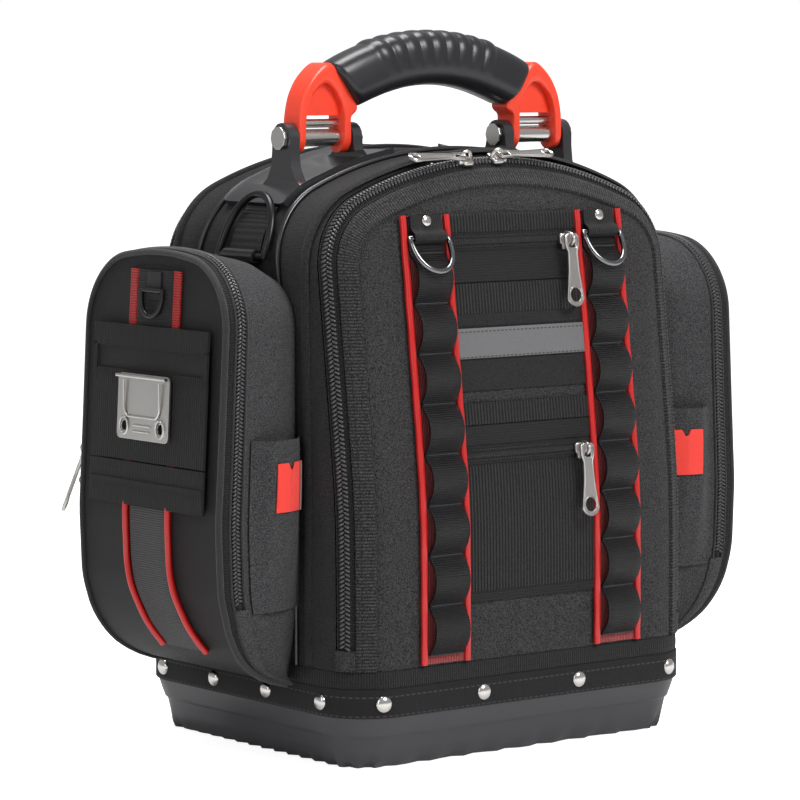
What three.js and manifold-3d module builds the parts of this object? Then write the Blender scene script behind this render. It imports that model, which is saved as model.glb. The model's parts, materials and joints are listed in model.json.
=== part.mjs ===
// A tool backpack with a hard base, a hinged carrying handle and a pouch on each side.
// Millimetres. +X is the bag's left-to-right width, the front faces -Y, +Z is up, and the
// origin is the middle of the base's underside.
import * as THREE from 'three';
import { mergeVertices } from 'three/addons/utils/BufferGeometryUtils.js';
import Module from 'manifold-3d';

const wasm = await Module();
wasm.setup();

// Driving dimensions of the bag
const gap = 0.3;               // clearance between pieces that touch
const wall = 2.6;              // padded cloth wall of the bag
const pouchWall = 1.8;         // cloth wall of a side pouch
const bodyWidth = 265;         // over the side walls
const bodyDepth = 220;         // over the front and back faces, at the base
const bodyTop = 352;           // top of the cloth, at the middle
const crownRadius = 260;       // arch of the top
const shoulderRadius = 49;     // arch where the top turns into the side
const edgeRadius = 33;         // rounded edge between a face and the sides
const leanStart = 150;         // height where the faces start to lean in
const leanSlope = 0.125;       // lean above that height
const leanBlend = 25;          // softness of the bend
const bindingInset = 20;       // edge binding of the front and back, seen from the front
const bindingHeight = 1.3;     // the binding stands proud of the panel

// Base
const trayTop = 30.5;          // visible top of the moulded base
const trayWall = 3.2;
const trayFloor = 4;
const trayLip = 49;            // the base's hidden upstand, inside the band
const bandTop = 47.5;          // cloth band round the base
const hemTop = 57.5;           // ribbed hem above the band
const bandWall = 2.2;
const rivetHeight = 39;
const rivetRadius = 4.8;
const rivetDome = 2.2;

// Zips and gussets, as angles round the rounded edge, from the side towards the face
const bindingAngle = 45;
const zipAngle = 24;
const chainHeight = 1.3;
const gussetDepth = 53;        // rear end of the front gusset, behind the front face
const foldDepth = 42;          // stitched fold on the gusset
const foldWidth = 7;
const foldHeight = 1.4;
const foldUpright = 0.8;       // share of the face's lean that the fold doesn't follow
const topSliderLength = 13;
const topSliderWidth = 9;
const topSliderThickness = 3.4;
const frontSliderLeft = -20.5; // the front zip's two sliders, near the middle of the top
const frontSliderRight = 3;
const rearSliderX = -4;

// Handle
const pivotY = -9;
const pivotZ = 359.5;
const pinRadius = 3;
const earRadius = 9;
const earThickness = 6.8;
const earInner = 54.6;         // inner ear's face nearest the middle
const armWidth = 38.8;         // across both cheeks, between the ears
const armDepth = 17;
const armCheek = 5.6;
const sleeveRadius = 5.2;
const barRadius = 2.5;
const barRise = 8.2;
const gripTop = 423;
const gripUnder = 390;
const gripDepth = 31;
const gripHalfTop = 77.5;      // half length along the top of the grip
const gripHalfUnder = 56.5;    // half length along its underside
const gripDropTop = 19;        // how far the top's ends lie below its middle
const gripDropUnder = 13.5;
const saddleHalfDepth = 30;    // the bracket's saddle, front to back
const saddleThickness = 3;
const saddleInner = 40;        // saddle's end nearest the middle
const saddleOuterHeight = 320; // height of its lower end on the shoulder
const boltRadius = 7;
const boltHead = 2.4;

// Front strips, loops and rings
const tapeInner = 48.5;
const tapeWidth = 34;
const tapeThickness = 0.8;
const stripTop = 316;
const stripBottom = hemTop + 1.5;
const webbing = 25;            // width of the heavy webbing
const webbingThickness = 1.6;
const loopCount = 8;
const loopBottom = 64;
const loopPitch = 28.8;
const loopHeight = 8;
const ringWire = 1.6;
const ringHalfWidth = 14;
const ringHeight = 22;
const ringBarHeight = 303.5;

// Front pockets
const upperPocketBottom = 214;
const upperZipHeight = 300;
const lowerPocketTop = 207;
const lowerPocketBottom = 92;
const lowerZipHeight = 177;
const reflectiveBottom = 232.5;
const reflectiveTop = 250;
const pocketZipHeight = 7;
const sliderX = 38;
const pullLength = 40;
const pullWidth = 10;
const pullThickness = 1.8;

// Side pouches
const pouchHalfDepth = 71;
const pouchTop = 297;
const pouchCrown = 210;
const pouchShoulder = 44;
const pouchBottom = 47.8;
const pouchNeck = 14;          // how much narrower the pouch is where it meets the bag
const gussetShare = 0.78;      // share of the pouch's thickness that the gusset takes
const pouchThickness = 61.8;   // greatest, from the bag's side to the face's inner skin
const pouchRimInset = 2.3;
const pouchFaceInset = 9;
const strapHalfWidth = 25.5;
const panelHalfWidth = 53;
const panelBottom = 148.5;
const panelTop = 252.5;
const pocketLow = 175.5;
const pocketHigh = 225;
const plateWidth = 52;
const plateHeight = 38;
const plateBottom = 187;
const plateY = 2;
const plateThickness = 1.4;
const plateCorner = 3;
const plateHoleRadius = 3.2;
const pouchRingWire = 1.4;
const pouchRingHalfWidth = 10.5;
const pouchRingHeight = 15;
const pouchRingRise = 21;      // the ring's bar above the webbing panel
const pouchTabHalf = 7;
const upperSliderZ = 176;
const lowerSliderZ = 157;
const restingTip = 20;         // the upper pull leans out over the lower slider
const slipTop = 191;
const slipBottom = 92;
const slipBulge = 8.5;
const slipWall = 1.2;
const tabTop = 178;
const tabBottom = 150;

// Back
const padThickness = 12;
const padHalfWidth = 87;
const padBottom = 72;
const padTop = 290;
const padSoftEdge = 8;
const shoulderStrapWidth = 58;
const shoulderStrapThickness = 9;
const shoulderStrapTop = 318;
const shoulderStrapFoot = 66;
const shoulderStrapBow = 58;   // how far the strap stands off the back
const shoulderStrapNear = 38;  // its middle from the bag's middle, at the top
const shoulderStrapFar = 105;  // and at the foot

// Top rings at the shoulders
const topRingWire = 2.2;
const topRingHalfWidth = 22.5;
const topRingHeight = 38;
const topRingY = -8.5;
const topRingBarRise = 6.2;     // how far its bar lies above where the shoulder begins to turn
const topTabHalf = 15;
const topTabTurn = 36;         // degrees round the shoulder that the tab covers

const bodySide = bodyWidth / 2;
const pouchBase = bodySide + 2.4 * gap;

const rad = THREE.MathUtils.degToRad;
const vec = (x, y, z) => new THREE.Vector3(x, y, z);

const group = new THREE.Group();

const looks = {
  cloth: { color: 0x2b2b2e, roughness: 0.9, metalness: 0 },
  webbing: { color: 0x1b1b1e, roughness: 0.8, metalness: 0 },
  heather: { color: 0x3c3c40, roughness: 0.92, metalness: 0 },
  zip: { color: 0x151517, roughness: 0.45, metalness: 0.1 },
  red: { color: 0xd8322a, roughness: 0.75, metalness: 0 },
  orange: { color: 0xf2502f, roughness: 0.4, metalness: 0 },
  plastic: { color: 0x3a393d, roughness: 0.5, metalness: 0 },
  rubber: { color: 0x222226, roughness: 0.55, metalness: 0 },
  metal: { color: 0xb9b6b0, roughness: 0.3, metalness: 0.9 },
  blackMetal: { color: 0x141416, roughness: 0.35, metalness: 0.6 },
  reflective: { color: 0x77777a, roughness: 0.5, metalness: 0.1 },
};

// Puts a closed geometry in the group as one named piece with its faces outward.
function add(name, geometry, look) {
  const solid = weld(geometry);
  solid.computeVertexNormals();
  const mesh = new THREE.Mesh(solid, new THREE.MeshStandardMaterial(looks[look]));
  mesh.name = name;
  group.add(mesh);
}

// Merges shared corners, drops empty triangles and turns the faces outward.
function weld(geometry) {
  const bare = geometry.clone();
  bare.deleteAttribute('normal');
  bare.deleteAttribute('uv');
  const merged = mergeVertices(bare, 1e-4);
  const index = merged.getIndex().array;
  const p = merged.getAttribute('position');
  const a = vec();
  const b = vec();
  const c = vec();
  const kept = [];
  let volume = 0;
  for (let i = 0; i < index.length; i += 3) {
    const [i0, i1, i2] = [index[i], index[i + 1], index[i + 2]];
    if (i0 === i1 || i1 === i2 || i2 === i0) continue;
    a.fromBufferAttribute(p, i0);
    b.fromBufferAttribute(p, i1);
    c.fromBufferAttribute(p, i2);
    volume += a.dot(b.cross(c));
    kept.push(i0, i1, i2);
  }
  if (volume < 0) kept.reverse();
  merged.setIndex(kept);
  return merged;
}

function fromTriangles(points, triangles) {
  const geometry = new THREE.BufferGeometry();
  const flat = points.flatMap((p) => [p.x, p.y, p.z]);
  geometry.setAttribute('position', new THREE.Float32BufferAttribute(flat, 3));
  geometry.setIndex(triangles.flat());
  return geometry;
}

function toManifold(geometry) {
  const solid = weld(geometry);
  const vertProperties = new Float32Array(solid.getAttribute('position').array);
  const triVerts = new Uint32Array(solid.getIndex().array);
  return new wasm.Manifold(new wasm.Mesh({ numProp: 3, vertProperties, triVerts }));
}

function fromManifold(solid) {
  const mesh = solid.getMesh();
  const geometry = new THREE.BufferGeometry();
  geometry.setAttribute('position', new THREE.BufferAttribute(new Float32Array(mesh.vertProperties), 3));
  geometry.setIndex(Array.from(mesh.triVerts));
  return geometry;
}

function join(parts, cuts = []) {
  let solid = toManifold(parts[0]);
  for (const part of parts.slice(1)) solid = solid.add(toManifold(part));
  for (const cut of cuts) solid = solid.subtract(toManifold(cut));
  return fromManifold(solid);
}

// Skins a row of closed sections. An open row gets flat ends.
function sweep(rings, loop = false) {
  const count = rings[0].length;
  const points = rings.flat();
  const triangles = [];
  if (!loop) {
    const last = (rings.length - 1) * count;
    for (const [x, y, z] of endFaces(rings[0])) triangles.push([z, y, x]);
    for (const [x, y, z] of endFaces(rings[rings.length - 1])) {
      triangles.push([last + x, last + y, last + z]);
    }
  }
  const spans = loop ? rings.length : rings.length - 1;
  for (let i = 0; i < spans; i += 1) {
    const near = i * count;
    const far = ((i + 1) % rings.length) * count;
    for (let j = 0; j < count; j += 1) {
      const k = (j + 1) % count;
      triangles.push([near + j, near + k, far + k], [near + j, far + k, far + j]);
    }
  }
  return fromTriangles(points, triangles);
}

// Triangles of a flat closed section, in the section's own order.
function endFaces(ring) {
  const normal = vec();
  ring.forEach((p, i) => {
    const q = ring[(i + 1) % ring.length];
    normal.x += (p.y - q.y) * (p.z + q.z);
    normal.y += (p.z - q.z) * (p.x + q.x);
    normal.z += (p.x - q.x) * (p.y + q.y);
  });
  const turn = new THREE.Quaternion().setFromUnitVectors(normal.normalize(), vec(0, 0, 1));
  const flat = ring.map((p) => {
    const q = p.clone().applyQuaternion(turn);
    return new THREE.Vector2(q.x, q.y);
  });
  return THREE.ShapeUtils.triangulateShape(flat, []);
}

// A flat shape from an outline and its holes, all counterclockwise.
function shapeOf(outline, holes) {
  const around = (list) => {
    const places = list.map(([a, b]) => new THREE.Vector2(a, b));
    return THREE.ShapeUtils.isClockWise(places) ? places.reverse() : places;
  };
  const shape = new THREE.Shape(around(outline));
  shape.holes = holes.map((hole) => new THREE.Path(around(hole)));
  return shape;
}

// Extrudes an outline given as [y, z] pairs along X, between two x values.
function alongX(outline, x0, x1, holes = []) {
  const geometry = new THREE.ExtrudeGeometry(shapeOf(outline, holes), { depth: x1 - x0, bevelEnabled: false });
  const basis = new THREE.Matrix4().makeBasis(vec(0, 1, 0), vec(0, 0, 1), vec(1, 0, 0));
  return geometry.applyMatrix4(basis.setPosition(x0, 0, 0));
}

// Extrudes an outline given as [x, z] pairs along Y, between two y values.
function alongY(outline, y0, y1, holes = []) {
  const geometry = new THREE.ExtrudeGeometry(shapeOf(outline, holes), { depth: y1 - y0, bevelEnabled: false });
  const basis = new THREE.Matrix4().makeBasis(vec(1, 0, 0), vec(0, 0, 1), vec(0, -1, 0));
  return geometry.applyMatrix4(basis.setPosition(0, y1, 0));
}

function circle(cx, cy, radius, sides, from = 0, to = 360) {
  const full = to - from >= 360;
  const steps = full ? sides : sides + 1;
  return Array.from({ length: steps }, (_, i) => {
    const a = rad(from + ((to - from) * i) / sides);
    return [cx + radius * Math.cos(a), cy + radius * Math.sin(a)];
  });
}

// The bag's outline and faces

// How far the front and back faces lean in at a height.
function lean(z) {
  const t = z - leanStart;
  return 0.5 * leanSlope * (t + Math.hypot(t, leanBlend));
}

// Angle of the faces' lean at a height.
function leanAngle(z) {
  const t = z - leanStart;
  return Math.atan(0.5 * leanSlope * (1 + t / Math.hypot(t, leanBlend)));
}

// Depth position at a height, measured in from the front (side -1) or back (side 1) face.
function faceY(side, z, depth) {
  return side * (bodyDepth / 2 - lean(z) - depth);
}

// An arch from its bottom on one side, over the top, to the other side: a straight side, a
// shoulder arc and a crown arc. Each station has its place (u, z) and outward normal.
function arch({ half, top, crown, shoulder, bottom, levels, shoulderSteps, crownSteps }) {
  const reach = half - shoulder;
  const crownZ = top - crown;
  const shoulderZ = crownZ + Math.sqrt((crown - shoulder) ** 2 - reach ** 2);
  const turn = Math.asin(reach / (crown - shoulder));
  const right = levels.map((share) => ({ u: half, z: bottom + share * (shoulderZ - bottom), nu: 1, nz: 0 }));
  for (let i = 1; i <= shoulderSteps; i += 1) {
    const a = Math.PI / 2 + ((turn - Math.PI / 2) * i) / shoulderSteps;
    const [nu, nz] = [Math.sin(a), Math.cos(a)];
    right.push({ u: reach + shoulder * nu, z: shoulderZ + shoulder * nz, nu, nz });
  }
  for (let i = 1; i <= crownSteps; i += 1) {
    const a = turn * (1 - i / crownSteps);
    const [nu, nz] = [Math.sin(a), Math.cos(a)];
    right.push({ u: crown * nu, z: crownZ + crown * nz, nu, nz });
  }
  const left = right.map(({ u, z, nu, nz }) => ({ u: -u, z, nu: -nu, nz }));
  return [...left, ...right.slice(0, -1).reverse()];
}

const bodyArch = arch({
  half: bodySide,
  top: bodyTop,
  crown: crownRadius,
  shoulder: shoulderRadius,
  bottom: hemTop + gap,
  levels: [0, 0.28, 0.42, 0.58, 1],
  shoulderSteps: 4,
  crownSteps: 3,
});

const inset = (st, d) => ({ u: st.u - st.nu * d, z: st.z - st.nz * d });

// A place on the bag's skin: inset from the arch, and depth in from a face.
function bodyPoint(st, side, d, depth) {
  const { u, z } = inset(st, d);
  return vec(u, faceY(side, z, depth), z);
}

// A place on the rounded edge: angle from the side towards the face, and how far inside.
function edgePoint(st, side, angle, inside) {
  const r = edgeRadius - inside;
  const d = edgeRadius - r * Math.cos(rad(angle));
  return bodyPoint(st, side, d, edgeRadius - r * Math.sin(rad(angle)));
}

// A shell that closes an arch: matching outer and inner rows from the rim to the face.
function coverShell(outer, inner) {
  const count = outer[0].length;
  const points = [...outer.flat(), ...inner.flat()];
  const rows = outer.length;
  const at = (row, i) => row * count + i;
  const quads = [];
  const triangles = [];
  const quad = (a, b, c, d) => quads.push([a, b, c, d]);
  for (let row = 0; row < rows - 1; row += 1) {
    for (let i = 0; i < count - 1; i += 1) {
      quad(at(row, i), at(row, i + 1), at(row + 1, i + 1), at(row + 1, i));
      const k = rows + row;
      quad(at(k, i + 1), at(k, i), at(k + 1, i), at(k + 1, i + 1));
    }
    for (const i of [0, count - 1]) {
      const ends = [at(row, i), at(row + 1, i), at(rows + row + 1, i), at(rows + row, i)];
      quad(...(i === 0 ? ends : ends.reverse()));
    }
  }
  for (let i = 0; i < count - 1; i += 1) quad(at(rows, i), at(rows, i + 1), at(0, i + 1), at(0, i));
  const face = rows - 1;
  const back = 2 * rows - 1;
  const mirror = (i) => count - 1 - i;
  for (let i = 0; i < (count - 1) / 2; i += 1) {
    quad(at(face, i), at(face, i + 1), at(face, mirror(i + 1)), at(face, mirror(i)));
    quad(at(back, i + 1), at(back, i), at(back, mirror(i)), at(back, mirror(i + 1)));
  }
  quad(at(face, 0), at(face, mirror(0)), at(back, mirror(0)), at(back, 0));
  for (const [a, b, c, d] of quads) {
    triangles.push([a, b, c]);
    triangles.push([a, c, d]);
  }
  return fromTriangles(points, triangles.filter(([a, b, c]) => a !== b && b !== c && c !== a));
}

const bindingEnd = THREE.MathUtils.radToDeg(Math.acos(1 - bindingInset / edgeRadius));

function bodyCover(side) {
  const row = (angle, inside) => bodyArch.map((st) => edgePoint(st, side, angle, inside));
  const outer = [
    row(bindingAngle, 0),
    row((bindingAngle + bindingEnd) / 2, 0),
    row(bindingEnd, 0),
    row(bindingEnd + 1, bindingHeight),
    row(90, bindingHeight),
  ];
  const skin = bindingHeight + wall;
  const inner = [
    row(bindingAngle, wall),
    row((bindingAngle + bindingEnd) / 2, wall),
    row(bindingEnd, wall + 0.5 * bindingHeight),
    row(bindingEnd + 1, skin),
    row(90, skin),
  ];
  return coverShell(outer, inner);
}

// A hoop over the arch, from a closed section of [angle, inside] pairs on the rounded edge.
// A negative angle is a distance along the straight side behind the rounded edge.
function bodyHoop(side, section) {
  return sweep(bodyArch.map((st) => section.map(([angle, inside]) => hoopPoint(st, side, angle, inside))));
}

function hoopPoint(st, side, angle, inside) {
  if (angle >= 0) return edgePoint(st, side, angle, inside);
  return bodyPoint(st, side, inside, edgeRadius - angle);
}

function bodyZip(side) {
  const clear = THREE.MathUtils.radToDeg(gap / edgeRadius);
  const high = bindingAngle - clear;
  const low = zipAngle;
  return bodyHoop(side, [
    [high, 0.5],
    [high - 3, -chainHeight],
    [low + 4, -chainHeight],
    [low, 0.5],
    [low, wall],
    [high, wall],
  ]);
}

// The angle on the rounded edge that lies at a depth behind the face.
function angleAt(depth) {
  if (depth >= edgeRadius) return edgeRadius - depth;
  return THREE.MathUtils.radToDeg(Math.asin(1 - depth / edgeRadius));
}

function gusset(side, rear) {
  const high = zipAngle - THREE.MathUtils.radToDeg(gap / edgeRadius);
  const end = angleAt(rear);
  return sweep(bodyArch.map((st) => {
    const depth = foldDepth - foldUpright * lean(st.z);
    const front = angleAt(depth);
    const back = angleAt(depth + foldWidth);
    const section = [
      [high, 0],
      [front, 0],
      [front, -foldHeight],
      [back, -foldHeight],
      [back, 0],
      [end, 0],
      [end, wall],
      [0, wall],
      [high, wall],
    ];
    return section.map(([angle, inside]) => hoopPoint(st, side, angle, inside));
  }));
}

// Base tray and band

// A closed ring round the bag at a height: a rectangle with rounded corners.
function planRing(z, d) {
  const steps = 4;
  const r = Math.max(edgeRadius - d, 1);
  const cx = bodySide - d - r;
  const cy = bodyDepth / 2 - d - r;
  const corners = [[1, 1, 0], [-1, 1, 90], [-1, -1, 180], [1, -1, 270]];
  return corners.flatMap(([sx, sy, from]) => Array.from({ length: steps + 1 }, (_, i) => {
    const a = rad(from + (90 * i) / steps);
    return vec(sx * cx + r * Math.cos(a), sy * cy + r * Math.sin(a), z);
  }));
}

// Each row of the tray's wall: height as a share of the visible height, and inset.
const trayRows = [
  { share: 0, inset: 13 },
  { share: 0.12, inset: 11 },
  { share: 0.6, inset: 7 },
  { share: 0.66, inset: 5.4 },
  { share: 1, inset: 1.6 },
];
const lipInset = bandWall + gap;
const trayOuter = trayRows.map((row) => planRing(row.share * trayTop, row.inset));
const trayGeometry = sweep([
  ...trayOuter,
  planRing(trayTop, lipInset),
  planRing(trayLip, lipInset),
  planRing(trayLip, lipInset + trayWall),
  planRing(trayTop, trayRows[4].inset + trayWall + 1.4),
  planRing(trayFloor, trayRows[1].inset + trayWall),
]);
add('base_tray', trayGeometry, 'plastic');

// A low domed rivet head, turned about its own axis and set with the axis along a normal.
function rivet(centre, normal, radius, dome, sink) {
  const profile = [[0, -sink], [radius, -sink], [radius, dome * 0.3], [radius * 0.5, dome], [0, dome]];
  const head = new THREE.LatheGeometry(profile.map(([r, h]) => new THREE.Vector2(r, h)), 6);
  const turn = new THREE.Quaternion().setFromUnitVectors(vec(0, 1, 0), normal);
  return head.applyQuaternion(turn).translate(centre.x, centre.y, centre.z);
}

const rivetSpots = [];
for (const share of [-0.823, -0.275, 0.275, 0.823]) {
  for (const side of [-1, 1]) {
    rivetSpots.push([vec(share * bodySide, side * bodyDepth / 2, rivetHeight), vec(0, side, 0)]);
  }
}
for (const share of [-0.718, -0.239, 0.239, 0.718]) {
  for (const side of [-1, 1]) {
    rivetSpots.push([vec(side * bodySide, share * bodyDepth / 2, rivetHeight), vec(side, 0, 0)]);
  }
}
const bandLoop = [
  [trayTop + gap, 0],
  [bandTop, 0],
  [bandTop, 0.7],
  [hemTop, 0.7],
  [hemTop, bandWall],
  [trayTop + gap, bandWall],
];
const bandRings = planRing(0, 0).map((_, i) => bandLoop.map(([z, d]) => planRing(z, d)[i]));
const rivets = rivetSpots.map(([at, normal]) => rivet(at, normal, rivetRadius, rivetDome, bandWall / 2));
add('base_band', join([sweep(bandRings, true), ...rivets]), 'cloth');

// Main body

add('front_cover', bodyCover(-1), 'cloth');
add('back_panel', bodyCover(1), 'cloth');
add('front_gusset', gusset(-1, gussetDepth), 'cloth');
add('rear_gusset', gusset(1, gussetDepth), 'cloth');

const centreRings = bodyArch.map((st) => [
  bodyPoint(st, -1, 0, gussetDepth + gap),
  bodyPoint(st, 1, 0, gussetDepth + gap),
  bodyPoint(st, 1, wall, gussetDepth + gap),
  bodyPoint(st, -1, wall, gussetDepth + gap),
]);
add('centre_section', sweep(centreRings), 'cloth');

// A slider on the top of a main zip, with its pull lying over towards one side.
function topSlider(side, x, towards) {
  const crown = bodyArch[(bodyArch.length - 1) / 2];
  const middle = (bindingAngle + zipAngle) / 2;
  const sunk = 0.6;
  const place = edgePoint(crown, side, middle, sunk - chainHeight);
  const thick = topSliderThickness;
  const body = new THREE.BoxGeometry(topSliderLength, topSliderWidth, thick);
  body.translate(0, 0, 0.42 * thick);
  const lug = new THREE.BoxGeometry(topSliderLength * 0.4, topSliderWidth * 0.3, thick);
  const lugX = towards * topSliderLength * 0.3;
  lug.translate(lugX, 0, 1.2 * thick);
  const pull = new THREE.BoxGeometry(pullLength, pullWidth * 0.8, pullThickness);
  pull.translate(lugX + towards * (pullLength / 2 - 2), 0, 1.55 * thick);
  const solid = join([body, lug, pull]);
  const drop = crownRadius - Math.sqrt(crownRadius ** 2 - x ** 2);
  return solid.rotateX(rad(middle) * -side).translate(x, place.y, place.z - drop);
}

const frontSliders = [topSlider(-1, frontSliderLeft, -1), topSlider(-1, frontSliderRight, 1)];
add('front_zip', join([bodyZip(-1), ...frontSliders]), 'zip');
add('rear_zip', join([bodyZip(1), topSlider(1, rearSliderX, 1)]), 'zip');

// Handle brackets, arms, grip and pins
const bodyCrownZ = bodyTop - crownRadius;
const bodyReach = bodySide - shoulderRadius;
const bodyShoulderZ = bodyCrownZ + Math.sqrt((crownRadius - shoulderRadius) ** 2 - bodyReach ** 2);

// A place on the arch with its normal, from the angle of the normal off the vertical.
function archAt(angle) {
  const turn = Math.asin(bodyReach / (crownRadius - shoulderRadius));
  const [nu, nz] = [Math.sin(angle), Math.cos(angle)];
  if (angle <= turn) return { u: crownRadius * nu, z: bodyCrownZ + crownRadius * nz, nu, nz };
  return { u: bodyReach + shoulderRadius * nu, z: bodyShoulderZ + shoulderRadius * nz, nu, nz };
}

const saddleFrom = Math.asin(saddleInner / crownRadius);
const saddleTo = Math.acos((saddleOuterHeight - bodyShoulderZ) / shoulderRadius);
const saddleSteps = 8;
const saddleStations = Array.from({ length: saddleSteps + 1 }, (_, i) => (
  archAt(saddleFrom + ((saddleTo - saddleFrom) * i) / saddleSteps)
));
const saddleTopAt = (x) => bodyCrownZ + Math.sqrt(crownRadius ** 2 - x ** 2) + gap + saddleThickness;

function saddle(side) {
  const section = [
    [-saddleHalfDepth, gap],
    [-saddleHalfDepth, gap + saddleThickness + 1.4],
    [-saddleHalfDepth + 4, gap + saddleThickness],
    [saddleHalfDepth - 4, gap + saddleThickness],
    [saddleHalfDepth, gap + saddleThickness + 1.4],
    [saddleHalfDepth, gap],
  ];
  return sweep(saddleStations.map((st) => section.map(([y, out]) => {
    const { u, z } = inset(st, -out);
    return vec(side * u, y, z);
  })));
}

// An ear: round at the pin, flaring to its foot on the saddle.
function ear(side, inner) {
  const foot = saddleTopAt(inner + earThickness / 2) - saddleThickness / 2;
  const rise = pivotZ - foot;
  const flare = [
    [1, 2.1],
    [0.86, 1.55],
    [0.6, 1.12],
    [0.25, 1],
  ];
  const right = flare.map(([drop, width]) => [pivotY + width * earRadius, pivotZ - drop * rise]);
  const top = circle(pivotY, pivotZ, earRadius, 8, 0, 180);
  const left = flare.slice().reverse().map(([drop, width]) => [pivotY - width * earRadius, pivotZ - drop * rise]);
  const x0 = side > 0 ? inner : -inner - earThickness;
  return alongX([...right, ...top, ...left], x0, x0 + earThickness);
}

const earOuter = earInner + earThickness + 2 * gap + armWidth;
const armInner = earInner + earThickness + gap;

for (const [name, side] of [['left', -1], ['right', 1]]) {
  const hole = alongX(circle(pivotY, pivotZ, pinRadius + gap, 8), -bodySide, bodySide);
  const bracket = join([saddle(side), ear(side, earInner), ear(side, earOuter)], [hole]);
  add(`handle_bracket_${name}`, bracket, 'plastic');
}

// The grip's underside and top, at a share of its half length from -1 to 1.
const gripUnderAt = (t) => [gripHalfUnder * t, gripUnder - gripDropUnder * t * t];
const gripTopAt = (t) => [gripHalfTop * t, gripTop - gripDropTop * t * t];

function gripRing(t) {
  const [x0, z0] = gripUnderAt(t);
  const [x1, z1] = gripTopAt(t);
  return circle(0, 0, 1, 12).map(([c, s]) => {
    const share = 0.5 + 0.5 * s;
    const round = Math.sign(c) * Math.abs(c) ** 0.8;
    return vec(x0 + (x1 - x0) * share, pivotY + (gripDepth / 2) * round, z0 + (z1 - z0) * share);
  });
}

const gripStations = Array.from({ length: 11 }, (_, i) => -1 + i / 5);
add('handle_grip', sweep(gripStations.map(gripRing)), 'rubber');

// An arm: two cheeks on the pivot sleeve, joined above by a web with a pocket in each face.
function arm(side) {
  const [ux, uz] = gripUnderAt(1);
  const [tx, tz] = gripTopAt(1);
  const along = Math.hypot(tx - ux, tz - uz);
  const clearX = (gap * (tz - uz)) / along;
  const clearZ = (-gap * (tx - ux)) / along;
  const armOuter = armInner + armWidth;
  const under = pivotZ - earRadius;
  const outline = [
    [armOuter, under],
    [armOuter, pivotZ + 0.25 * (tz - pivotZ)],
    [armOuter - 0.07 * armWidth, pivotZ + 0.54 * (tz - pivotZ)],
    [armOuter - 0.32 * armWidth, pivotZ + 0.82 * (tz - pivotZ)],
    [tx + clearX, tz + clearZ],
    [ux + clearX, uz + clearZ],
    [armInner, uz - 3],
    [armInner, under],
  ];
  const pocket = [
    [armOuter - armCheek, pivotZ + 0.1 * (tz - pivotZ)],
    [armOuter - armCheek - 1.5, pivotZ + 0.45 * (tz - pivotZ)],
    [armOuter - 0.42 * armWidth, pivotZ + 0.74 * (tz - pivotZ)],
    [armInner + 0.36 * armWidth, pivotZ + 0.74 * (tz - pivotZ)],
    [armInner + armCheek, pivotZ + 0.36 * (tz - pivotZ)],
    [armInner + armCheek, pivotZ + 0.1 * (tz - pivotZ)],
  ];
  const slot = [
    [armInner + armCheek, under - 1],
    [armOuter - armCheek, under - 1],
    [armOuter - armCheek, pivotZ + 0.3 * (tz - pivotZ)],
    [armInner + armCheek, pivotZ + 0.3 * (tz - pivotZ)],
  ];
  const flip = (list) => list.map(([x, z]) => [side * x, z]);
  const [y0, y1] = [pivotY - armDepth / 2, pivotY + armDepth / 2];
  const round = [
    ...circle(pivotY, pivotZ, armDepth / 2, 8, 180, 360),
    [y1, gripTop],
    [y0, gripTop],
  ];
  const block = toManifold(alongY(flip(outline), y0, y1));
  const rounded = block.intersect(toManifold(alongX(round, -bodySide, bodySide)));
  const web = armDepth * 0.3;
  let solid = rounded;
  for (const [a, b] of [[y0 - 1, y0 + web], [y1 - web, y1 + 1]]) {
    solid = solid.subtract(toManifold(alongY(flip(pocket), a, b)));
  }
  solid = solid.subtract(toManifold(alongY(flip(slot), y0 - 1, y1 + 1)));
  const [a, b] = [armInner + 1, armOuter - 1].map((x) => side * x).sort((p, q) => p - q);
  solid = solid.add(toManifold(alongX(circle(pivotY, pivotZ, sleeveRadius, 10), a, b)));
  solid = solid.add(toManifold(alongX(circle(pivotY, pivotZ + barRise, barRadius, 6), a, b)));
  solid = solid.subtract(toManifold(alongX(circle(pivotY, pivotZ, pinRadius + gap, 8), -bodySide, bodySide)));
  return fromManifold(solid);
}

for (const [name, side] of [['left', -1], ['right', 1]]) {
  add(`handle_arm_${name}`, arm(side), 'orange');
  const [x0, x1] = [earInner, earOuter + earThickness].map((x) => side * x).sort((p, q) => p - q);
  const shaft = alongX(circle(pivotY, pivotZ, pinRadius, 8), x0 - gap - 1, x1 + gap + 1);
  const head = alongX(circle(pivotY, pivotZ, boltRadius, 10), x0 - gap - boltHead, x0 - gap);
  const nut = alongX(circle(pivotY, pivotZ, boltRadius * 0.9, 6), x1 + gap, x1 + gap + boltHead);
  add(`handle_pin_${name}`, join([shaft, head, nut]), 'metal');
}

// Straps, patches and webbing laid on the front and back faces

const panelSkin = bindingHeight;

// A flat strip on a face, from rows of height, left x, right x, back and front thickness.
function faceStrip(side, rows) {
  return sweep(rows.map(({ z, x0, x1, back, front }) => {
    const yb = faceY(side, z, panelSkin - back);
    const yf = faceY(side, z, panelSkin - front);
    return [vec(x0, yb, z), vec(x1, yb, z), vec(x1, yf, z), vec(x0, yf, z)];
  }));
}

// Heights where a strip on a face needs a row so that it follows the lean.
const faceLevels = bodyArch.slice(0, 5).map((st) => st.z);
function heights(z0, z1, levels) {
  return [z0, ...levels.filter((z) => z > z0 + 1 && z < z1 - 1), z1];
}

const clearLean = 0.35;        // extra room where a strip bridges the bend of the face
const tapeBack = gap + clearLean;
const loopBack = tapeBack + tapeThickness + gap;

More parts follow.
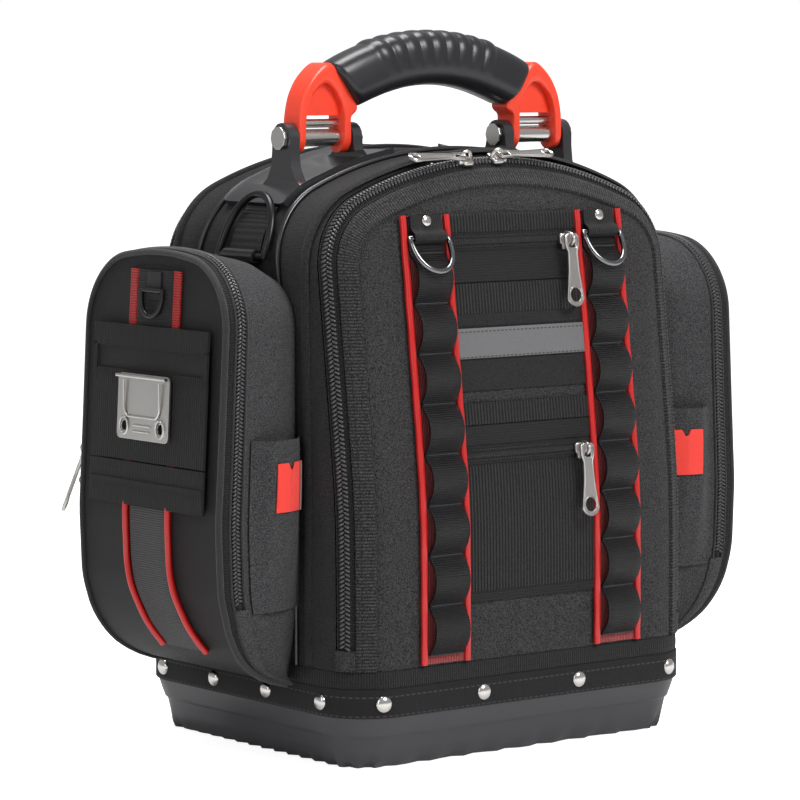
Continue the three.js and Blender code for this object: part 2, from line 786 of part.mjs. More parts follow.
// A strip of webbing sewn down between loops, as a closed [y, z] ribbon of even thickness.
function loopRibbon() {
  const shape = [
    { share: 0, rise: 0 },
    { share: 0.2, rise: 0.72 },
    { share: 0.5, rise: 1 },
    { share: 0.8, rise: 0.72 },
  ];
  const path = [[stripBottom, 0]];
  for (let i = 0; i < loopCount; i += 1) {
    for (const { share, rise } of shape) path.push([loopBottom + (i + share) * loopPitch, rise * loopHeight]);
  }
  path.push([loopBottom + loopCount * loopPitch, 0]);
  const line = path.map(([z, rise]) => [faceY(-1, z, panelSkin - loopBack - rise), z]);
  const outer = line.map(([y, z], i) => {
    const [ya, za] = line[Math.max(i - 1, 0)];
    const [yb, zb] = line[Math.min(i + 1, line.length - 1)];
    const length = Math.hypot(yb - ya, zb - za);
    return [y - (webbingThickness * (zb - za)) / length, z + (webbingThickness * (yb - ya)) / length];
  });
  return [...line, ...outer.reverse()];
}

// A bent wire, from a closed row of [a, b] places in a plane and the plane's two axes.
function wireLoop(places, radius, origin, axisA, axisB, sides = 6) {
  const normal = axisA.clone().cross(axisB);
  const count = places.length;
  const at = ([a, b]) => origin.clone().addScaledVector(axisA, a).addScaledVector(axisB, b);
  return sweep(places.map((place, i) => {
    const before = places[(i + count - 1) % count];
    const after = places[(i + 1) % count];
    const along = [after[0] - before[0], after[1] - before[1]];
    const length = Math.hypot(...along);
    const side = axisA.clone().multiplyScalar(along[1] / length).addScaledVector(axisB, -along[0] / length);
    return circle(0, 0, radius, sides, 30, 390).map(([c, s]) => (
      at(place).addScaledVector(side, c).addScaledVector(normal, s)
    ));
  }), true);
}

// The outline of a D-ring: a straight bar at the top and a round bow below it.
function ringPlaces(half, height, steps = 8) {
  const bow = Array.from({ length: steps + 1 }, (_, i) => {
    const a = rad((180 * i) / steps);
    const s = Math.sin(a) ** 0.75;
    return [-half * Math.cos(a), -height * s];
  });
  return [...bow, [half * 0.5, 0], [-half * 0.5, 0]];
}

const ringFold = ringWire + gap + webbingThickness;

for (const [name, side] of [['left', -1], ['right', 1]]) {
  const [x0, x1] = [tapeInner, tapeInner + tapeWidth].map((x) => side * x).sort((p, q) => p - q);
  const rows = heights(stripBottom, stripTop, faceLevels).map((z) => (
    { z, x0, x1, back: tapeBack, front: tapeBack + tapeThickness }
  ));
  add(`red_tape_${name}`, faceStrip(-1, rows), 'red');
  const middle = (x0 + x1) / 2;
  add(`tool_loops_${name}`, alongX(loopRibbon(), middle - webbing / 2, middle + webbing / 2), 'webbing');

  // The ring hangs from its tab and rests on the highest loop.
  // The tab folds round the ring's bar: outline as [out from the strip, up from the bar] places.
  const tabBack = faceY(-1, ringBarHeight, panelSkin - loopBack);
  const outwards = (out, up) => [tabBack - out + leanSlope * up, ringBarHeight + up];
  const thick = 2 * webbingThickness;
  const bar = [ringFold, 0];
  const outline = [
    [0, stripTop - ringBarHeight],
    [0, 0],
    ...circle(bar[0], bar[1], ringFold, 8, 180, 360).slice(1, -1),
    [2 * ringFold, 0],
    [thick, ringFold + 1],
    [thick, stripTop - ringBarHeight],
  ];
  const hole = circle(bar[0], bar[1], ringWire + gap, 8).map(([out, up]) => outwards(out, up));
  const tabHalf = webbing / 2 - 1;
  const tab = alongX(outline.map(([out, up]) => outwards(out, up)), middle - tabHalf, middle + tabHalf, [hole]);
  const rivetUp = 0.78 * (stripTop - ringBarHeight);
  const [ry, rz] = outwards(thick, rivetUp);
  const head = rivet(vec(middle, ry, rz), vec(0, -1, 0), rivetRadius * 0.62, rivetDome * 0.7, webbingThickness);
  add(`d_ring_tab_${name}`, join([tab, head]), 'webbing');

  const lowest = loopBottom + (loopCount - 0.5) * loopPitch;
  const crest = faceY(-1, lowest, panelSkin - loopBack - loopHeight - webbingThickness - ringWire - gap);
  const [by, bz] = outwards(...bar);
  const swing = Math.asin(Math.min((by - crest) / (ringHeight - 1), 0.9));
  const hang = vec(0, Math.sin(swing), Math.cos(swing));
  const ring = wireLoop(ringPlaces(ringHalfWidth, ringHeight), ringWire, vec(middle, by, bz), vec(1, 0, 0), hang);
  add(`front_d_ring_${name}`, ring, 'metal');
}

// Front pockets: cloth and ribbed webbing between the strips
const pocketHalf = tapeInner - 2 * gap;
const pocketRow = (z, thickness) => (
  { z, x0: -pocketHalf, x1: pocketHalf, back: gap + clearLean, front: gap + clearLean + thickness }
);

const cloth = 1.0;
const ribbed = 1.4;
const zipSeat = 0.8;
const zipHalf = pocketZipHeight / 2;
const upperRows = [
  [upperPocketBottom, cloth],
  [reflectiveBottom - 1, cloth],
  [reflectiveTop + 1, cloth],
  [reflectiveTop + 8, cloth],
  [reflectiveTop + 8.4, ribbed],
  [upperZipHeight - zipHalf - 1.4, ribbed],
  [upperZipHeight - zipHalf - 1, zipSeat],
  [upperZipHeight + zipHalf + 1, zipSeat],
  [upperZipHeight + zipHalf + 1.4, ribbed],
  [stripTop, ribbed],
];
add('upper_pocket', faceStrip(-1, upperRows.map(([z, t]) => pocketRow(z, t))), 'webbing');
const lowerRows = [
  [lowerPocketBottom, cloth],
  [lowerPocketBottom + 0.4, ribbed],
  [faceLevels[1] > lowerPocketBottom + 2 ? faceLevels[1] : lowerPocketBottom + 10, ribbed],
  [leanStart, ribbed],
  [lowerZipHeight - zipHalf - 1.4, ribbed],
  [lowerZipHeight - zipHalf - 1, zipSeat],
  [lowerZipHeight + zipHalf + 1, zipSeat],
  [lowerZipHeight + zipHalf + 1.4, ribbed],
  [lowerPocketTop, ribbed],
];
add('lower_pocket', faceStrip(-1, lowerRows.map(([z, t]) => pocketRow(z, t))), 'webbing');

const stripBack = gap + clearLean + cloth + gap;
const reflectiveRows = [reflectiveBottom, reflectiveTop].map((z) => (
  { z, x0: -pocketHalf, x1: pocketHalf, back: stripBack, front: stripBack + 0.8 }
));
add('reflective_strip', faceStrip(-1, reflectiveRows), 'reflective');

// A slider's bridge and its pull. Both are drawn with the hinge line along X through the
// origin, the zip behind them at +Y, and the pull hanging down.
const bridgeWidth = 2.2;
const bridgeHole = 1.9;
const bridgeOuter = 3.1;
const pullBar = 2.2;
const hingeOut = 4.2;          // hinge line in front of the slider's face
const sliderHeight = 11;
const sliderWidth = 9;
const sliderThick = 3;

function sliderSolid() {
  const body = new THREE.BoxGeometry(sliderWidth, sliderThick, sliderHeight);
  body.translate(0, hingeOut + sliderThick / 2, -1);
  const bridge = alongX([
    ...circle(0, 0, bridgeOuter, 4, 90, 270),
    [hingeOut + 1, -bridgeOuter],
    [hingeOut + 1, bridgeOuter],
  ], -bridgeWidth / 2, bridgeWidth / 2, [circle(0, 0, bridgeHole, 8)]);
  return join([body, bridge]);
}

function pullSolid() {
  const top = pullBar / 2;
  const half = pullWidth / 2;
  const shoulder = -0.3 * pullLength;
  const outline = [
    [-0.36 * pullWidth, top],
    [-0.38 * pullWidth, shoulder],
    ...circle(0, -pullLength + half, half, 6, 180, 360),
    [0.38 * pullWidth, shoulder],
    [0.36 * pullWidth, top],
  ];
  const slot = bridgeWidth / 2 + 0.5;
  const window = [
    [-slot, -pullBar / 2],
    [slot, -pullBar / 2],
    [slot, -bridgeOuter - 3],
    [-slot, -bridgeOuter - 3],
  ];
  const eye = circle(0, -pullLength + half, half * 0.52, 6);
  return alongY(outline, -pullThickness / 2, pullThickness / 2, [window, eye]);
}

// Puts a hinge-drawn solid at a place, tipped back about X and turned about Z to a heading.
function seat(geometry, at, heading, tip = 0) {
  return geometry.rotateX(-tip).rotateZ(heading).translate(at.x, at.y, at.z);
}

const zipBack = gap + clearLean + zipSeat + gap;
const zipFront = zipBack + 1.1;
for (const [name, z] of [['upper', upperZipHeight], ['lower', lowerZipHeight]]) {
  const rows = [z - zipHalf, z + zipHalf].map((h) => (
    { z: h, x0: -pocketHalf + 1, x1: pocketHalf - 1, back: zipBack, front: zipFront }
  ));
  const at = vec(sliderX, faceY(-1, z, panelSkin - zipFront) - sliderThick - hingeOut + 0.5, z);
  const tip = leanAngle(z);
  add(`${name}_zip`, join([faceStrip(-1, rows), seat(sliderSolid(), at, 0, tip)]), 'zip');
  add(`${name}_zip_pull`, seat(pullSolid(), at, 0, tip), 'metal');
}

// Side pouches

// The pouch's face, seen from the front: height and thickness, as shares of the pouch's
// height above its bottom and of its greatest thickness.
const pouchProfile = [
  { height: 0, thickness: 0.12 },
  { height: 0.018, thickness: 0.4 },
  { height: 0.042, thickness: 0.59 },
  { height: 0.08, thickness: 0.75 },
  { height: 0.135, thickness: 0.88 },
  { height: 0.22, thickness: 0.975 },
  { height: 0.38, thickness: 1 },
  { height: 0.58, thickness: 0.955 },
  { height: 0.8, thickness: 0.91 },
  { height: 1, thickness: 0.86 },
];
const pouchRise = pouchTop - pouchBottom;
const profileHeights = pouchProfile.map((row) => pouchBottom + row.height * pouchRise);

// Distance of the pouch's face from the middle of the bag, at a height.
function pouchFaceX(z) {
  const t = THREE.MathUtils.clamp((z - pouchBottom) / pouchRise, 0, 1);
  const i = Math.max(pouchProfile.findIndex((row) => row.height >= t), 1);
  const [low, high] = [pouchProfile[i - 1], pouchProfile[i]];
  const share = (t - low.height) / (high.height - low.height);
  return pouchBase + pouchThickness * (low.thickness + share * (high.thickness - low.thickness));
}

// Outward direction of the face in the plane of x and z.
function pouchFaceNormal(z) {
  const d = 1.5;
  const dx = pouchFaceX(Math.min(z + d, pouchTop)) - pouchFaceX(Math.max(z - d, pouchBottom));
  const dz = Math.min(z + d, pouchTop) - Math.max(z - d, pouchBottom);
  const length = Math.hypot(dx, dz);
  return { x: dz / length, z: -dx / length };
}

const pouchShoulderZ = pouchTop - pouchCrown
  + Math.sqrt((pouchCrown - pouchShoulder) ** 2 - (pouchHalfDepth - pouchShoulder) ** 2);
const pouchLevels = profileHeights.filter((z) => z < pouchShoulderZ - 12);
const pouchArch = arch({
  half: pouchHalfDepth,
  top: pouchTop,
  crown: pouchCrown,
  shoulder: pouchShoulder,
  bottom: pouchBottom,
  levels: [...pouchLevels, pouchShoulderZ].map((z) => (z - pouchBottom) / (pouchShoulderZ - pouchBottom)),
  shoulderSteps: 4,
  crownSteps: 2,
});

// The pouch gets narrower towards its bottom corners.
function cornerTuck(z) {
  const t = THREE.MathUtils.clamp((z - pouchBottom) / (0.2 * pouchRise), 0, 1);
  return 0.14 * pouchHalfDepth * (1 - t) ** 2;
}

// A place on the pouch: station, inset from the outline, and distance x from the middle.
function pouchPoint(side, st, d, x, lift = 0) {
  const { u, z } = inset(st, d);
  const y = u - Math.sign(u) * cornerTuck(z);
  return vec(side * x, y, z + lift);
}

function pouchGusset(side) {
  return sweep(pouchArch.map((st) => {
    const face = pouchFaceX(st.z);
    const x1 = pouchBase + (face - pouchBase) * gussetShare;
    const xm = pouchBase + (x1 - pouchBase) * 0.4;
    return [
      pouchPoint(side, st, pouchNeck * 0.36, xm),
      pouchPoint(side, st, 0, x1),
      pouchPoint(side, st, pouchWall, x1),
      pouchPoint(side, st, pouchNeck * 0.36 + pouchWall, xm),
      pouchPoint(side, st, pouchNeck + pouchWall, pouchBase + 0.6),
      pouchPoint(side, st, pouchNeck, pouchBase),
    ];
  }));
}

function pouchZip(side) {
  return sweep(pouchArch.map((st) => {
    const face = pouchFaceX(st.z);
    const x1 = pouchBase + (face - pouchBase) * gussetShare;
    const band = face - x1;
    const small = Math.min(gap, band * 0.2);
    return [
      pouchPoint(side, st, 0.2, x1 + small),
      pouchPoint(side, st, -chainHeight * Math.min(1, band / 6), x1 + band * 0.3),
      pouchPoint(side, st, 1.4, x1 + band * 0.58),
      pouchPoint(side, st, 1.4 + pouchWall, x1 + band * 0.58),
      pouchPoint(side, st, pouchWall, x1 + small),
    ];
  }));
}

function pouchCover(side) {
  const rim = (d, share, out) => pouchArch.map((st) => {
    const face = pouchFaceX(st.z);
    const x1 = pouchBase + (face - pouchBase) * gussetShare;
    const normal = pouchFaceNormal(st.z);
    return pouchPoint(side, st, d, x1 + (face - x1) * share + out * normal.x, out * normal.z);
  });
  const start = 0.62;
  return coverShell(
    [
      rim(pouchRimInset, start, 0),
      rim(pouchRimInset + 1.6, 0.95, pouchWall * 0.6),
      rim(pouchFaceInset, 1, pouchWall),
    ],
    [
      rim(pouchRimInset + pouchWall, start, 0),
      rim(pouchRimInset + 1.6 + pouchWall, 0.86, 0),
      rim(pouchFaceInset + 0.6, 1, 0),
    ],
  );
}

// A strip on the pouch's face, from rows of height, front y, rear y, and out from the face.
function pouchStrip(side, rows) {
  return sweep(rows.map(({ z, y0, y1, back, front }) => {
    const normal = pouchFaceNormal(z);
    const at = (y, out) => vec(side * (pouchFaceX(z) + out * normal.x), y, z + out * normal.z);
    return [at(y0, back), at(y1, back), at(y1, front), at(y0, front)];
  }));
}

const faceClear = pouchWall + 0.5;
const strapThickness = 1;
const panelBack = faceClear + strapThickness + gap;
const plateBack = panelBack + webbingThickness + gap;

// A rod along Y about a place in x and z, from its [x, z] outline and half length.
function alongYRod(x, z, outline, half) {
  return alongY(outline.map(([a, b]) => [x + a, z + b]), -half, half);
}

// The front of a pouch's gusset: height, place across it from the bag, and out from its skin.
function gussetSkin(side, z, share, out) {
  const face = pouchFaceX(z);
  const x1 = pouchBase + (face - pouchBase) * gussetShare;
  const xm = pouchBase + (x1 - pouchBase) * 0.4;
  const y = -(pouchHalfDepth - cornerTuck(z)) + pouchNeck * 0.36 * (1 - share);
  return vec(side * (xm + (x1 - xm) * share), y - out, z);
}

// How far the slip pocket's cloth stands off the gusset, at a height.
const slipClear = 0.5;
const slipSkin = slipClear + pouchWall;
function slipOut(z) {
  const share = (z - slipBottom) / (slipTop - slipBottom);
  return Math.max(slipClear + 0.8 + slipBulge * Math.sin(0.62 * Math.PI * share), slipSkin);
}

for (const [name, side] of [['left', -1], ['right', 1]]) {
  add(`pouch_gusset_${name}`, pouchGusset(side), 'heather');
  add(`pouch_cover_${name}`, pouchCover(side), 'cloth');

  // Red and grey strap down the middle, with the ring's webbing tab sewn to it
  const strapTopZ = pouchTop - pouchFaceInset - 3;
  const strapLowZ = pouchBottom + 0.085 * pouchRise;
  const strap = pouchStrip(side, heights(strapLowZ, strapTopZ, profileHeights).map((z) => (
    { z, y0: -strapHalfWidth, y1: strapHalfWidth, back: faceClear, front: faceClear + strapThickness }
  )));
  const foldRadius = pouchRingWire + gap + 1.2;
  const barZ = panelTop + pouchRingRise;
  const barX = pouchFaceX(barZ) + faceClear + strapThickness + foldRadius - 0.2;
  const tabTube = alongYRod(side * barX, barZ, circle(0, 0, foldRadius, 8), pouchTabHalf);
  const tabFlap = new THREE.BoxGeometry(1.6 * foldRadius, 2 * pouchTabHalf, pouchTabHalf);
  tabFlap.translate(side * (barX - foldRadius * 0.2), 0, barZ + pouchTabHalf / 2);
  const tabHole = alongYRod(side * barX, barZ, circle(0, 0, pouchRingWire + gap, 8), pouchTabHalf + 1);
  add(`pouch_strap_${name}`, join([strap, tabTube, tabFlap], [tabHole]), 'red');

  const hang = vec(side * -0.1, 0, 1).normalize();
  const places = ringPlaces(pouchRingHalfWidth, pouchRingHeight);
  const ring = wireLoop(places, pouchRingWire, vec(side * barX, 0, barZ), vec(0, 1, 0), hang);
  add(`pouch_d_ring_${name}`, ring, 'blackMetal');

  // Webbing panel with a pocket between two ribbed bands
  const panelRows = [
    [panelBottom, webbingThickness],
    [pocketLow - 1, webbingThickness],
    [pocketLow, cloth],
    [pocketHigh - 1, cloth],
    [pocketHigh, webbingThickness],
    [panelTop, webbingThickness],
  ];
  add(`pouch_panel_${name}`, pouchStrip(side, panelRows.map(([z, out]) => (
    { z, y0: -panelHalfWidth, y1: panelHalfWidth, back: panelBack, front: panelBack + out }
  ))), 'webbing');

  // Metal clip plate with two holes
  const plateMiddle = plateBottom + plateHeight / 2;
  const [across, up] = [plateWidth / 2 - plateCorner, plateHeight / 2 - plateCorner];
  const corners = [[across, up, 0], [-across, up, 90], [-across, -up, 180], [across, -up, 270]];
  const plateOutline = corners.flatMap(([a, b, from]) => circle(a, b, plateCorner, 2, from, from + 90));
  const holes = [-1, 1].map((s) => circle(s * plateWidth * 0.35, -plateHeight * 0.3, plateHoleRadius, 8));
  const plate = alongX(plateOutline, 0, plateThickness, holes);
  const tilt = Math.atan2(pouchFaceX(plateBottom + plateHeight) - pouchFaceX(plateBottom), plateHeight);
  plate.rotateY(tilt);
  if (side < 0) plate.scale(-1, 1, 1);
  plate.translate(side * (pouchFaceX(plateMiddle) + plateBack + 0.2), plateY, plateMiddle);
  add(`clip_plate_${name}`, plate, 'metal');

  // Slip pocket on the front of the gusset, and its red tab
  const slipRows = [0, 0.08, 0.35, 0.62, 0.85, 1].map((t) => slipBottom + t * (slipTop - slipBottom));
  const slip = sweep(slipRows.map((z) => [
    gussetSkin(side, z, -0.08, slipClear),
    gussetSkin(side, z, 0.9, slipClear),
    gussetSkin(side, z, 0.9, slipSkin),
    gussetSkin(side, z, 0.62, slipOut(z)),
    gussetSkin(side, z, 0.2, slipOut(z)),
    gussetSkin(side, z, -0.08, slipSkin),
  ]));
  const hollow = sweep(slipRows.slice(1).map((z, i, all) => {
    const low = slipClear + cloth * 0.7;
    const high = Math.max(slipOut(z) - slipWall, low + 0.1);
    const above = i === all.length - 1 ? z + 1 : z;
    return [
      gussetSkin(side, z, 0.02, low).setZ(above),
      gussetSkin(side, z, 0.8, low).setZ(above),
      gussetSkin(side, z, 0.62, high).setZ(above),
      gussetSkin(side, z, 0.2, high).setZ(above),
    ];
  }));
  add(`slip_pocket_${name}`, join([slip], [hollow]), 'cloth');
  const redTab = sweep([tabBottom, (tabBottom + tabTop) / 2, tabTop].map((z) => {
    const back = slipOut(z) + gap + clearLean;
    const front = back + strapThickness;
    return [
      gussetSkin(side, z, 0.12, back),
      gussetSkin(side, z, 0.6, back),
      gussetSkin(side, z, 0.6, front),
      gussetSkin(side, z, 0.12, front),
    ];
  }));
  add(`red_tab_${name}`, redTab, 'red');

  // Zip round the pouch's face, with two sliders low on its rear side
  const heading = side * rad(130);
  const sliders = [upperSliderZ, lowerSliderZ].map((z) => {
    const st = { u: pouchHalfDepth, z, nu: 1, nz: 0 };
    const face = pouchFaceX(z);
    const x1 = pouchBase + (face - pouchBase) * gussetShare;
    const chain = pouchPoint(side, st, -chainHeight, x1 + (face - x1) * 0.35);
    const out = vec(Math.sin(heading), -Math.cos(heading), 0);
    return chain.addScaledVector(out, sliderThick + hingeOut - 1.2);
  });
  const bodies = sliders.map((at) => seat(sliderSolid(), at, heading));
  add(`pouch_zip_${name}`, join([pouchZip(side), ...bodies]), 'zip');
  ['upper', 'lower'].forEach((place, i) => {
    const tip = place === 'upper' ? rad(restingTip) : 0;
    add(`pouch_pull_${place}_${name}`, seat(pullSolid(), sliders[i], heading, tip), 'metal');
  });
}

// Shoulder rings with their tabs
for (const [name, side] of [['left', -1], ['right', 1]]) {
  const fold = topRingWire + gap + webbingThickness;
  const barOff = shoulderRadius + gap + fold;
  const rise = topRingBarRise;
  const barAngle = Math.asin(rise / barOff);
  const bar = { u: bodyReach + barOff * Math.cos(barAngle), z: bodyShoulderZ + topRingBarRise };
  const touch = Math.acos((shoulderRadius + topRingWire + 2 * gap) / barOff);
  const up = barAngle + touch;
  const axis = vec(-side * Math.sin(up), 0, Math.cos(up));
  const flip = ringPlaces(topRingHalfWidth, topRingHeight, 10).map(([a, b]) => [a, -b]);
  const ring = wireLoop(flip, topRingWire, vec(side * bar.u, topRingY, bar.z), vec(0, 1, 0), axis);
  add(`top_ring_${name}`, ring, 'blackMetal');

  const steps = 5;
  const tabRings = Array.from({ length: steps + 1 }, (_, i) => {
    const a = barAngle + (rad(topTabTurn) * i) / steps;
    const place = (out, y) => vec(
      side * (bodyReach + (shoulderRadius + out) * Math.cos(a)),
      topRingY + y,
      bodyShoulderZ + (shoulderRadius + out) * Math.sin(a),
    );
    const top = gap + webbingThickness;
    return [place(gap, -topTabHalf), place(gap, topTabHalf), place(top, topTabHalf), place(top, -topTabHalf)];
  });
  const [near, far] = [topRingY - topTabHalf, topRingY + topTabHalf];
  const tube = alongY(circle(side * bar.u, bar.z, fold, 8), near, far);
  const hole = alongY(circle(side * bar.u, bar.z, topRingWire + gap, 8), near - 1, far + 1);
  add(`top_ring_tab_${name}`, join([sweep(tabRings), tube], [hole]), 'webbing');
}

// Back pad and shoulder straps

// Each row of the pad: height, width and thickness as shares of the pad's own.
const padRows = [
  { height: 0, width: 0.86, thickness: 0.8 },
  { height: 0.028, width: 0.96, thickness: 1 },
  { height: 0.073, width: 1, thickness: 1 },
  { height: 0.86, width: 1, thickness: 1 },
  { height: 0.963, width: 0.93, thickness: 1 },
  { height: 1, width: 0.84, thickness: 0.8 },
];
const padZ = (share) => padBottom + share * (padTop - padBottom);
const padSteps = [
  ...padRows.map((row) => ({ ...row, z: padZ(row.height) })),
  ...faceLevels.filter((z) => z > padZ(0.1) && z < padZ(0.84)).map((z) => ({ z, width: 1, thickness: 1 })),
].sort((a, b) => a.z - b.z);
const pad = sweep(padSteps.map(({ z, width, thickness }) => {
  const half = padHalfWidth * width;
  const back = faceY(1, z, panelSkin - gap - clearLean);
  const edge = faceY(1, z, panelSkin - padThickness * 0.7);
  const full = faceY(1, z, panelSkin - padThickness * thickness);
  return [
    vec(-half, back, z),
    vec(half, back, z),
    vec(half, edge, z),
    vec(half - padSoftEdge, full, z),
    vec(-half + padSoftEdge, full, z),
    vec(-half, edge, z),
  ];
}));
add('back_pad', pad, 'cloth');

// Each row of a shoulder strap, as shares: height from the foot to the top, how far it stands
// off the back, how far its middle has moved out from its place at the top, and the width
// and thickness of the padded part.
const strapRows = [
  { height: 1, off: 0, spread: 0, width: 0.8, thickness: 0.5 },
  { height: 0.964, off: 0.035, spread: 0.015, width: 0.9, thickness: 0.8 },
  { height: 0.925, off: 0.345, spread: 0.06, width: 1, thickness: 1 },
  { height: 0.833, off: 0.76, spread: 0.15, width: 1, thickness: 1 },
  { height: 0.706, off: 1, spread: 0.24, width: 1, thickness: 1 },
  { height: 0.556, off: 1, spread: 0.33, width: 0.95, thickness: 1 },
  { height: 0.405, off: 0.79, spread: 0.42, width: 0.85, thickness: 0.9 },
  { height: 0.317, off: 0.655, spread: 0.52, width: 0.45, thickness: 0.3 },
  { height: 0.175, off: 0.41, spread: 0.72, width: 0.45, thickness: 0.3 },
  { height: 0.071, off: 0.17, spread: 0.91, width: 0.45, thickness: 0.3 },
  { height: 0, off: 0, spread: 1, width: 0.45, thickness: 0.3 },
];

function shoulderStrap(side) {
  const path = strapRows.map(({ height, off, spread, width, thickness }) => {
    const t = shoulderStrapThickness * thickness;
    const z = shoulderStrapFoot + height * (shoulderStrapTop - shoulderStrapFoot);
    const out = gap + clearLean + off * shoulderStrapBow + t / 2;
    return {
      t,
      z,
      y: faceY(1, z, panelSkin - out),
      x: side * (shoulderStrapNear + spread * (shoulderStrapFar - shoulderStrapNear)),
      half: (shoulderStrapWidth * width) / 2,
    };
  });
  return sweep(path.map(({ t, x, y, z, half }, i) => {
    const a = path[Math.max(i - 1, 0)];
    const b = path[Math.min(i + 1, path.length - 1)];
    const length = Math.hypot(b.y - a.y, b.z - a.z);
    const end = i === 0 || i === path.length - 1;
    const ny = end ? 1 : -(b.z - a.z) / length;
    const nz = end ? 0 : (b.y - a.y) / length;
    const place = (w, n) => vec(x + w, y + n * ny, z + n * nz);
    return [place(-half, -t / 2), place(half, -t / 2), place(half, t / 2), place(-half, t / 2)];
  }));
}

for (const [name, side] of [['left', -1], ['right', 1]]) {
  add(`shoulder_strap_${name}`, shoulderStrap(side), 'cloth');
}

export default group;
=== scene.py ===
"""Looks of the tool backpack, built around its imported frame. Lengths are in millimetres until a mesh is
made."""
import json
import math

import bmesh
import bpy
import numpy as np
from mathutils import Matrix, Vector


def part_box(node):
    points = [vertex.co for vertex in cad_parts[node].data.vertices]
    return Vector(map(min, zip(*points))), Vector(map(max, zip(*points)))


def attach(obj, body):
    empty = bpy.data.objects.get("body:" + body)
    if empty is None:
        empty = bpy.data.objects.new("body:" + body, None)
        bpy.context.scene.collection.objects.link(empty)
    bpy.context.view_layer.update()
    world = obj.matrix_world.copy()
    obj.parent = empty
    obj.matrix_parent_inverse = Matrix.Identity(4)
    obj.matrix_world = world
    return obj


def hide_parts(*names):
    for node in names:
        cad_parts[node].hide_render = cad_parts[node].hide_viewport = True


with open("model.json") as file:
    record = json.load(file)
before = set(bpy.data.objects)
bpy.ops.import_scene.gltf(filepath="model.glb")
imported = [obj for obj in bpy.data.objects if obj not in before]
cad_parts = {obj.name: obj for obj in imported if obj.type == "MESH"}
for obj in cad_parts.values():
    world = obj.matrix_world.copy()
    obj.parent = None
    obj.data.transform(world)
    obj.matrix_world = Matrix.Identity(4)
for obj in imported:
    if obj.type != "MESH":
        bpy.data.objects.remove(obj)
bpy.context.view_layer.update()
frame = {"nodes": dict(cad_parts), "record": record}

# Base tray
# A moulded foot of dark grey plastic with a ledge round it and a tread along its lower edge.
# It is one injection moulding, riveted to the cloth band above it.


def grid(points, close_u=False, close_v=False, mat=0, uv=None):
    """A surface through a grid of points, u along the first index and v along the second; each cell is one
    face. Its map holds the lengths along u and v in metres."""
    p = np.asarray(points, float)
    nu, nv = p.shape[:2]
    a, b = np.meshgrid(np.arange(nu if close_u else nu - 1), np.arange(nv if close_v else nv - 1),
                       indexing="ij")
    a, b = a.ravel(), b.ravel()
    c, d = a + 1, b + 1
    quads = np.stack([a * nv + b, (c % nu) * nv + b, (c % nu) * nv + d % nv, a * nv + d % nv], 1)
    if uv is None:
        du = np.linalg.norm(np.diff(np.concatenate([p, p[:1]]), axis=0), axis=2).max(axis=1)
        dv = np.linalg.norm(np.diff(np.concatenate([p, p[:, :1]], axis=1), axis=1), axis=2).max(axis=0)
        ru, rv = np.concatenate([[0], np.cumsum(du)]), np.concatenate([[0], np.cumsum(dv)])
        maps = np.stack([np.stack([ru[a], rv[b]], 1), np.stack([ru[c], rv[b]], 1),
                         np.stack([ru[c], rv[d]], 1), np.stack([ru[a], rv[d]], 1)], 1) * 0.001
    else:
        w = np.asarray(uv, float).reshape(-1, 2)
        maps = w[quads] * 0.001
    return {"verts": p.reshape(-1, 3), "quads": quads, "maps": maps, "mat": mat}


def cap(ring, flip=False, mat=0):
    """A flat end: each side of the ring is joined to the ring's middle."""
    r = np.asarray(ring, float)
    n = len(r)
    i = np.arange(n)
    quads = np.stack([i, (i + 1) % n, np.full(n, n), np.full(n, n)], 1)
    verts = np.concatenate([r, r.mean(axis=0)[None]])
    if flip:
        quads = quads[:, [1, 0, 2, 3]]
    return {"verts": verts, "quads": quads, "maps": np.zeros((n, 4, 2)), "mat": mat}


def piece(name, parts, materials, node, body="bag", weld=True, angle=50):
    """One object of several grids. It rides on a body and stands for its CAD node."""
    verts = np.concatenate([q["verts"] for q in parts]) * 0.001
    starts = np.cumsum([0] + [len(q["verts"]) for q in parts])[:-1]
    quads = np.concatenate([q["quads"] + s for q, s in zip(parts, starts)])
    maps = np.concatenate([q["maps"] for q in parts])
    mats = np.concatenate([np.full(len(q["quads"]), q["mat"]) for q in parts])
    tri = quads[:, 2] == quads[:, 3]
    sizes = np.where(tri, 3, 4)
    keep = np.ones(quads.shape, bool)
    keep[tri, 3] = False
    mesh = bpy.data.meshes.new(name)
    mesh.vertices.add(len(verts))
    mesh.vertices.foreach_set("co", verts.ravel())
    mesh.loops.add(int(sizes.sum()))
    mesh.loops.foreach_set("vertex_index", quads[keep].astype(np.int32))
    mesh.polygons.add(len(quads))
    mesh.polygons.foreach_set("loop_start", np.concatenate([[0], np.cumsum(sizes)[:-1]]).astype(np.int32))
    mesh.polygons.foreach_set("material_index", mats.astype(np.int32))
    mesh.uv_layers.new(name="UVMap").data.foreach_set("uv", maps[keep].ravel())
    mesh.update(calc_edges=True)
    for m in materials:
        mesh.materials.append(m)
    if weld:
        bm = bmesh.new()
        bm.from_mesh(mesh)
        bmesh.ops.remove_doubles(bm, verts=bm.verts, dist=2e-6)
        bmesh.ops.dissolve_degenerate(bm, dist=1e-7, edges=bm.edges)
        bmesh.ops.recalc_face_normals(bm, faces=bm.faces)
        bm.to_mesh(mesh)
        bm.free()
    mesh.polygons.foreach_set("use_smooth", np.ones(len(mesh.polygons), bool))
    mesh.set_sharp_from_angle(angle=math.radians(angle))
    mesh.validate()
    obj = bpy.data.objects.new(name, mesh)
    bpy.context.collection.objects.link(obj)
    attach(obj, body)
    if node:
        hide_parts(node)
    return obj


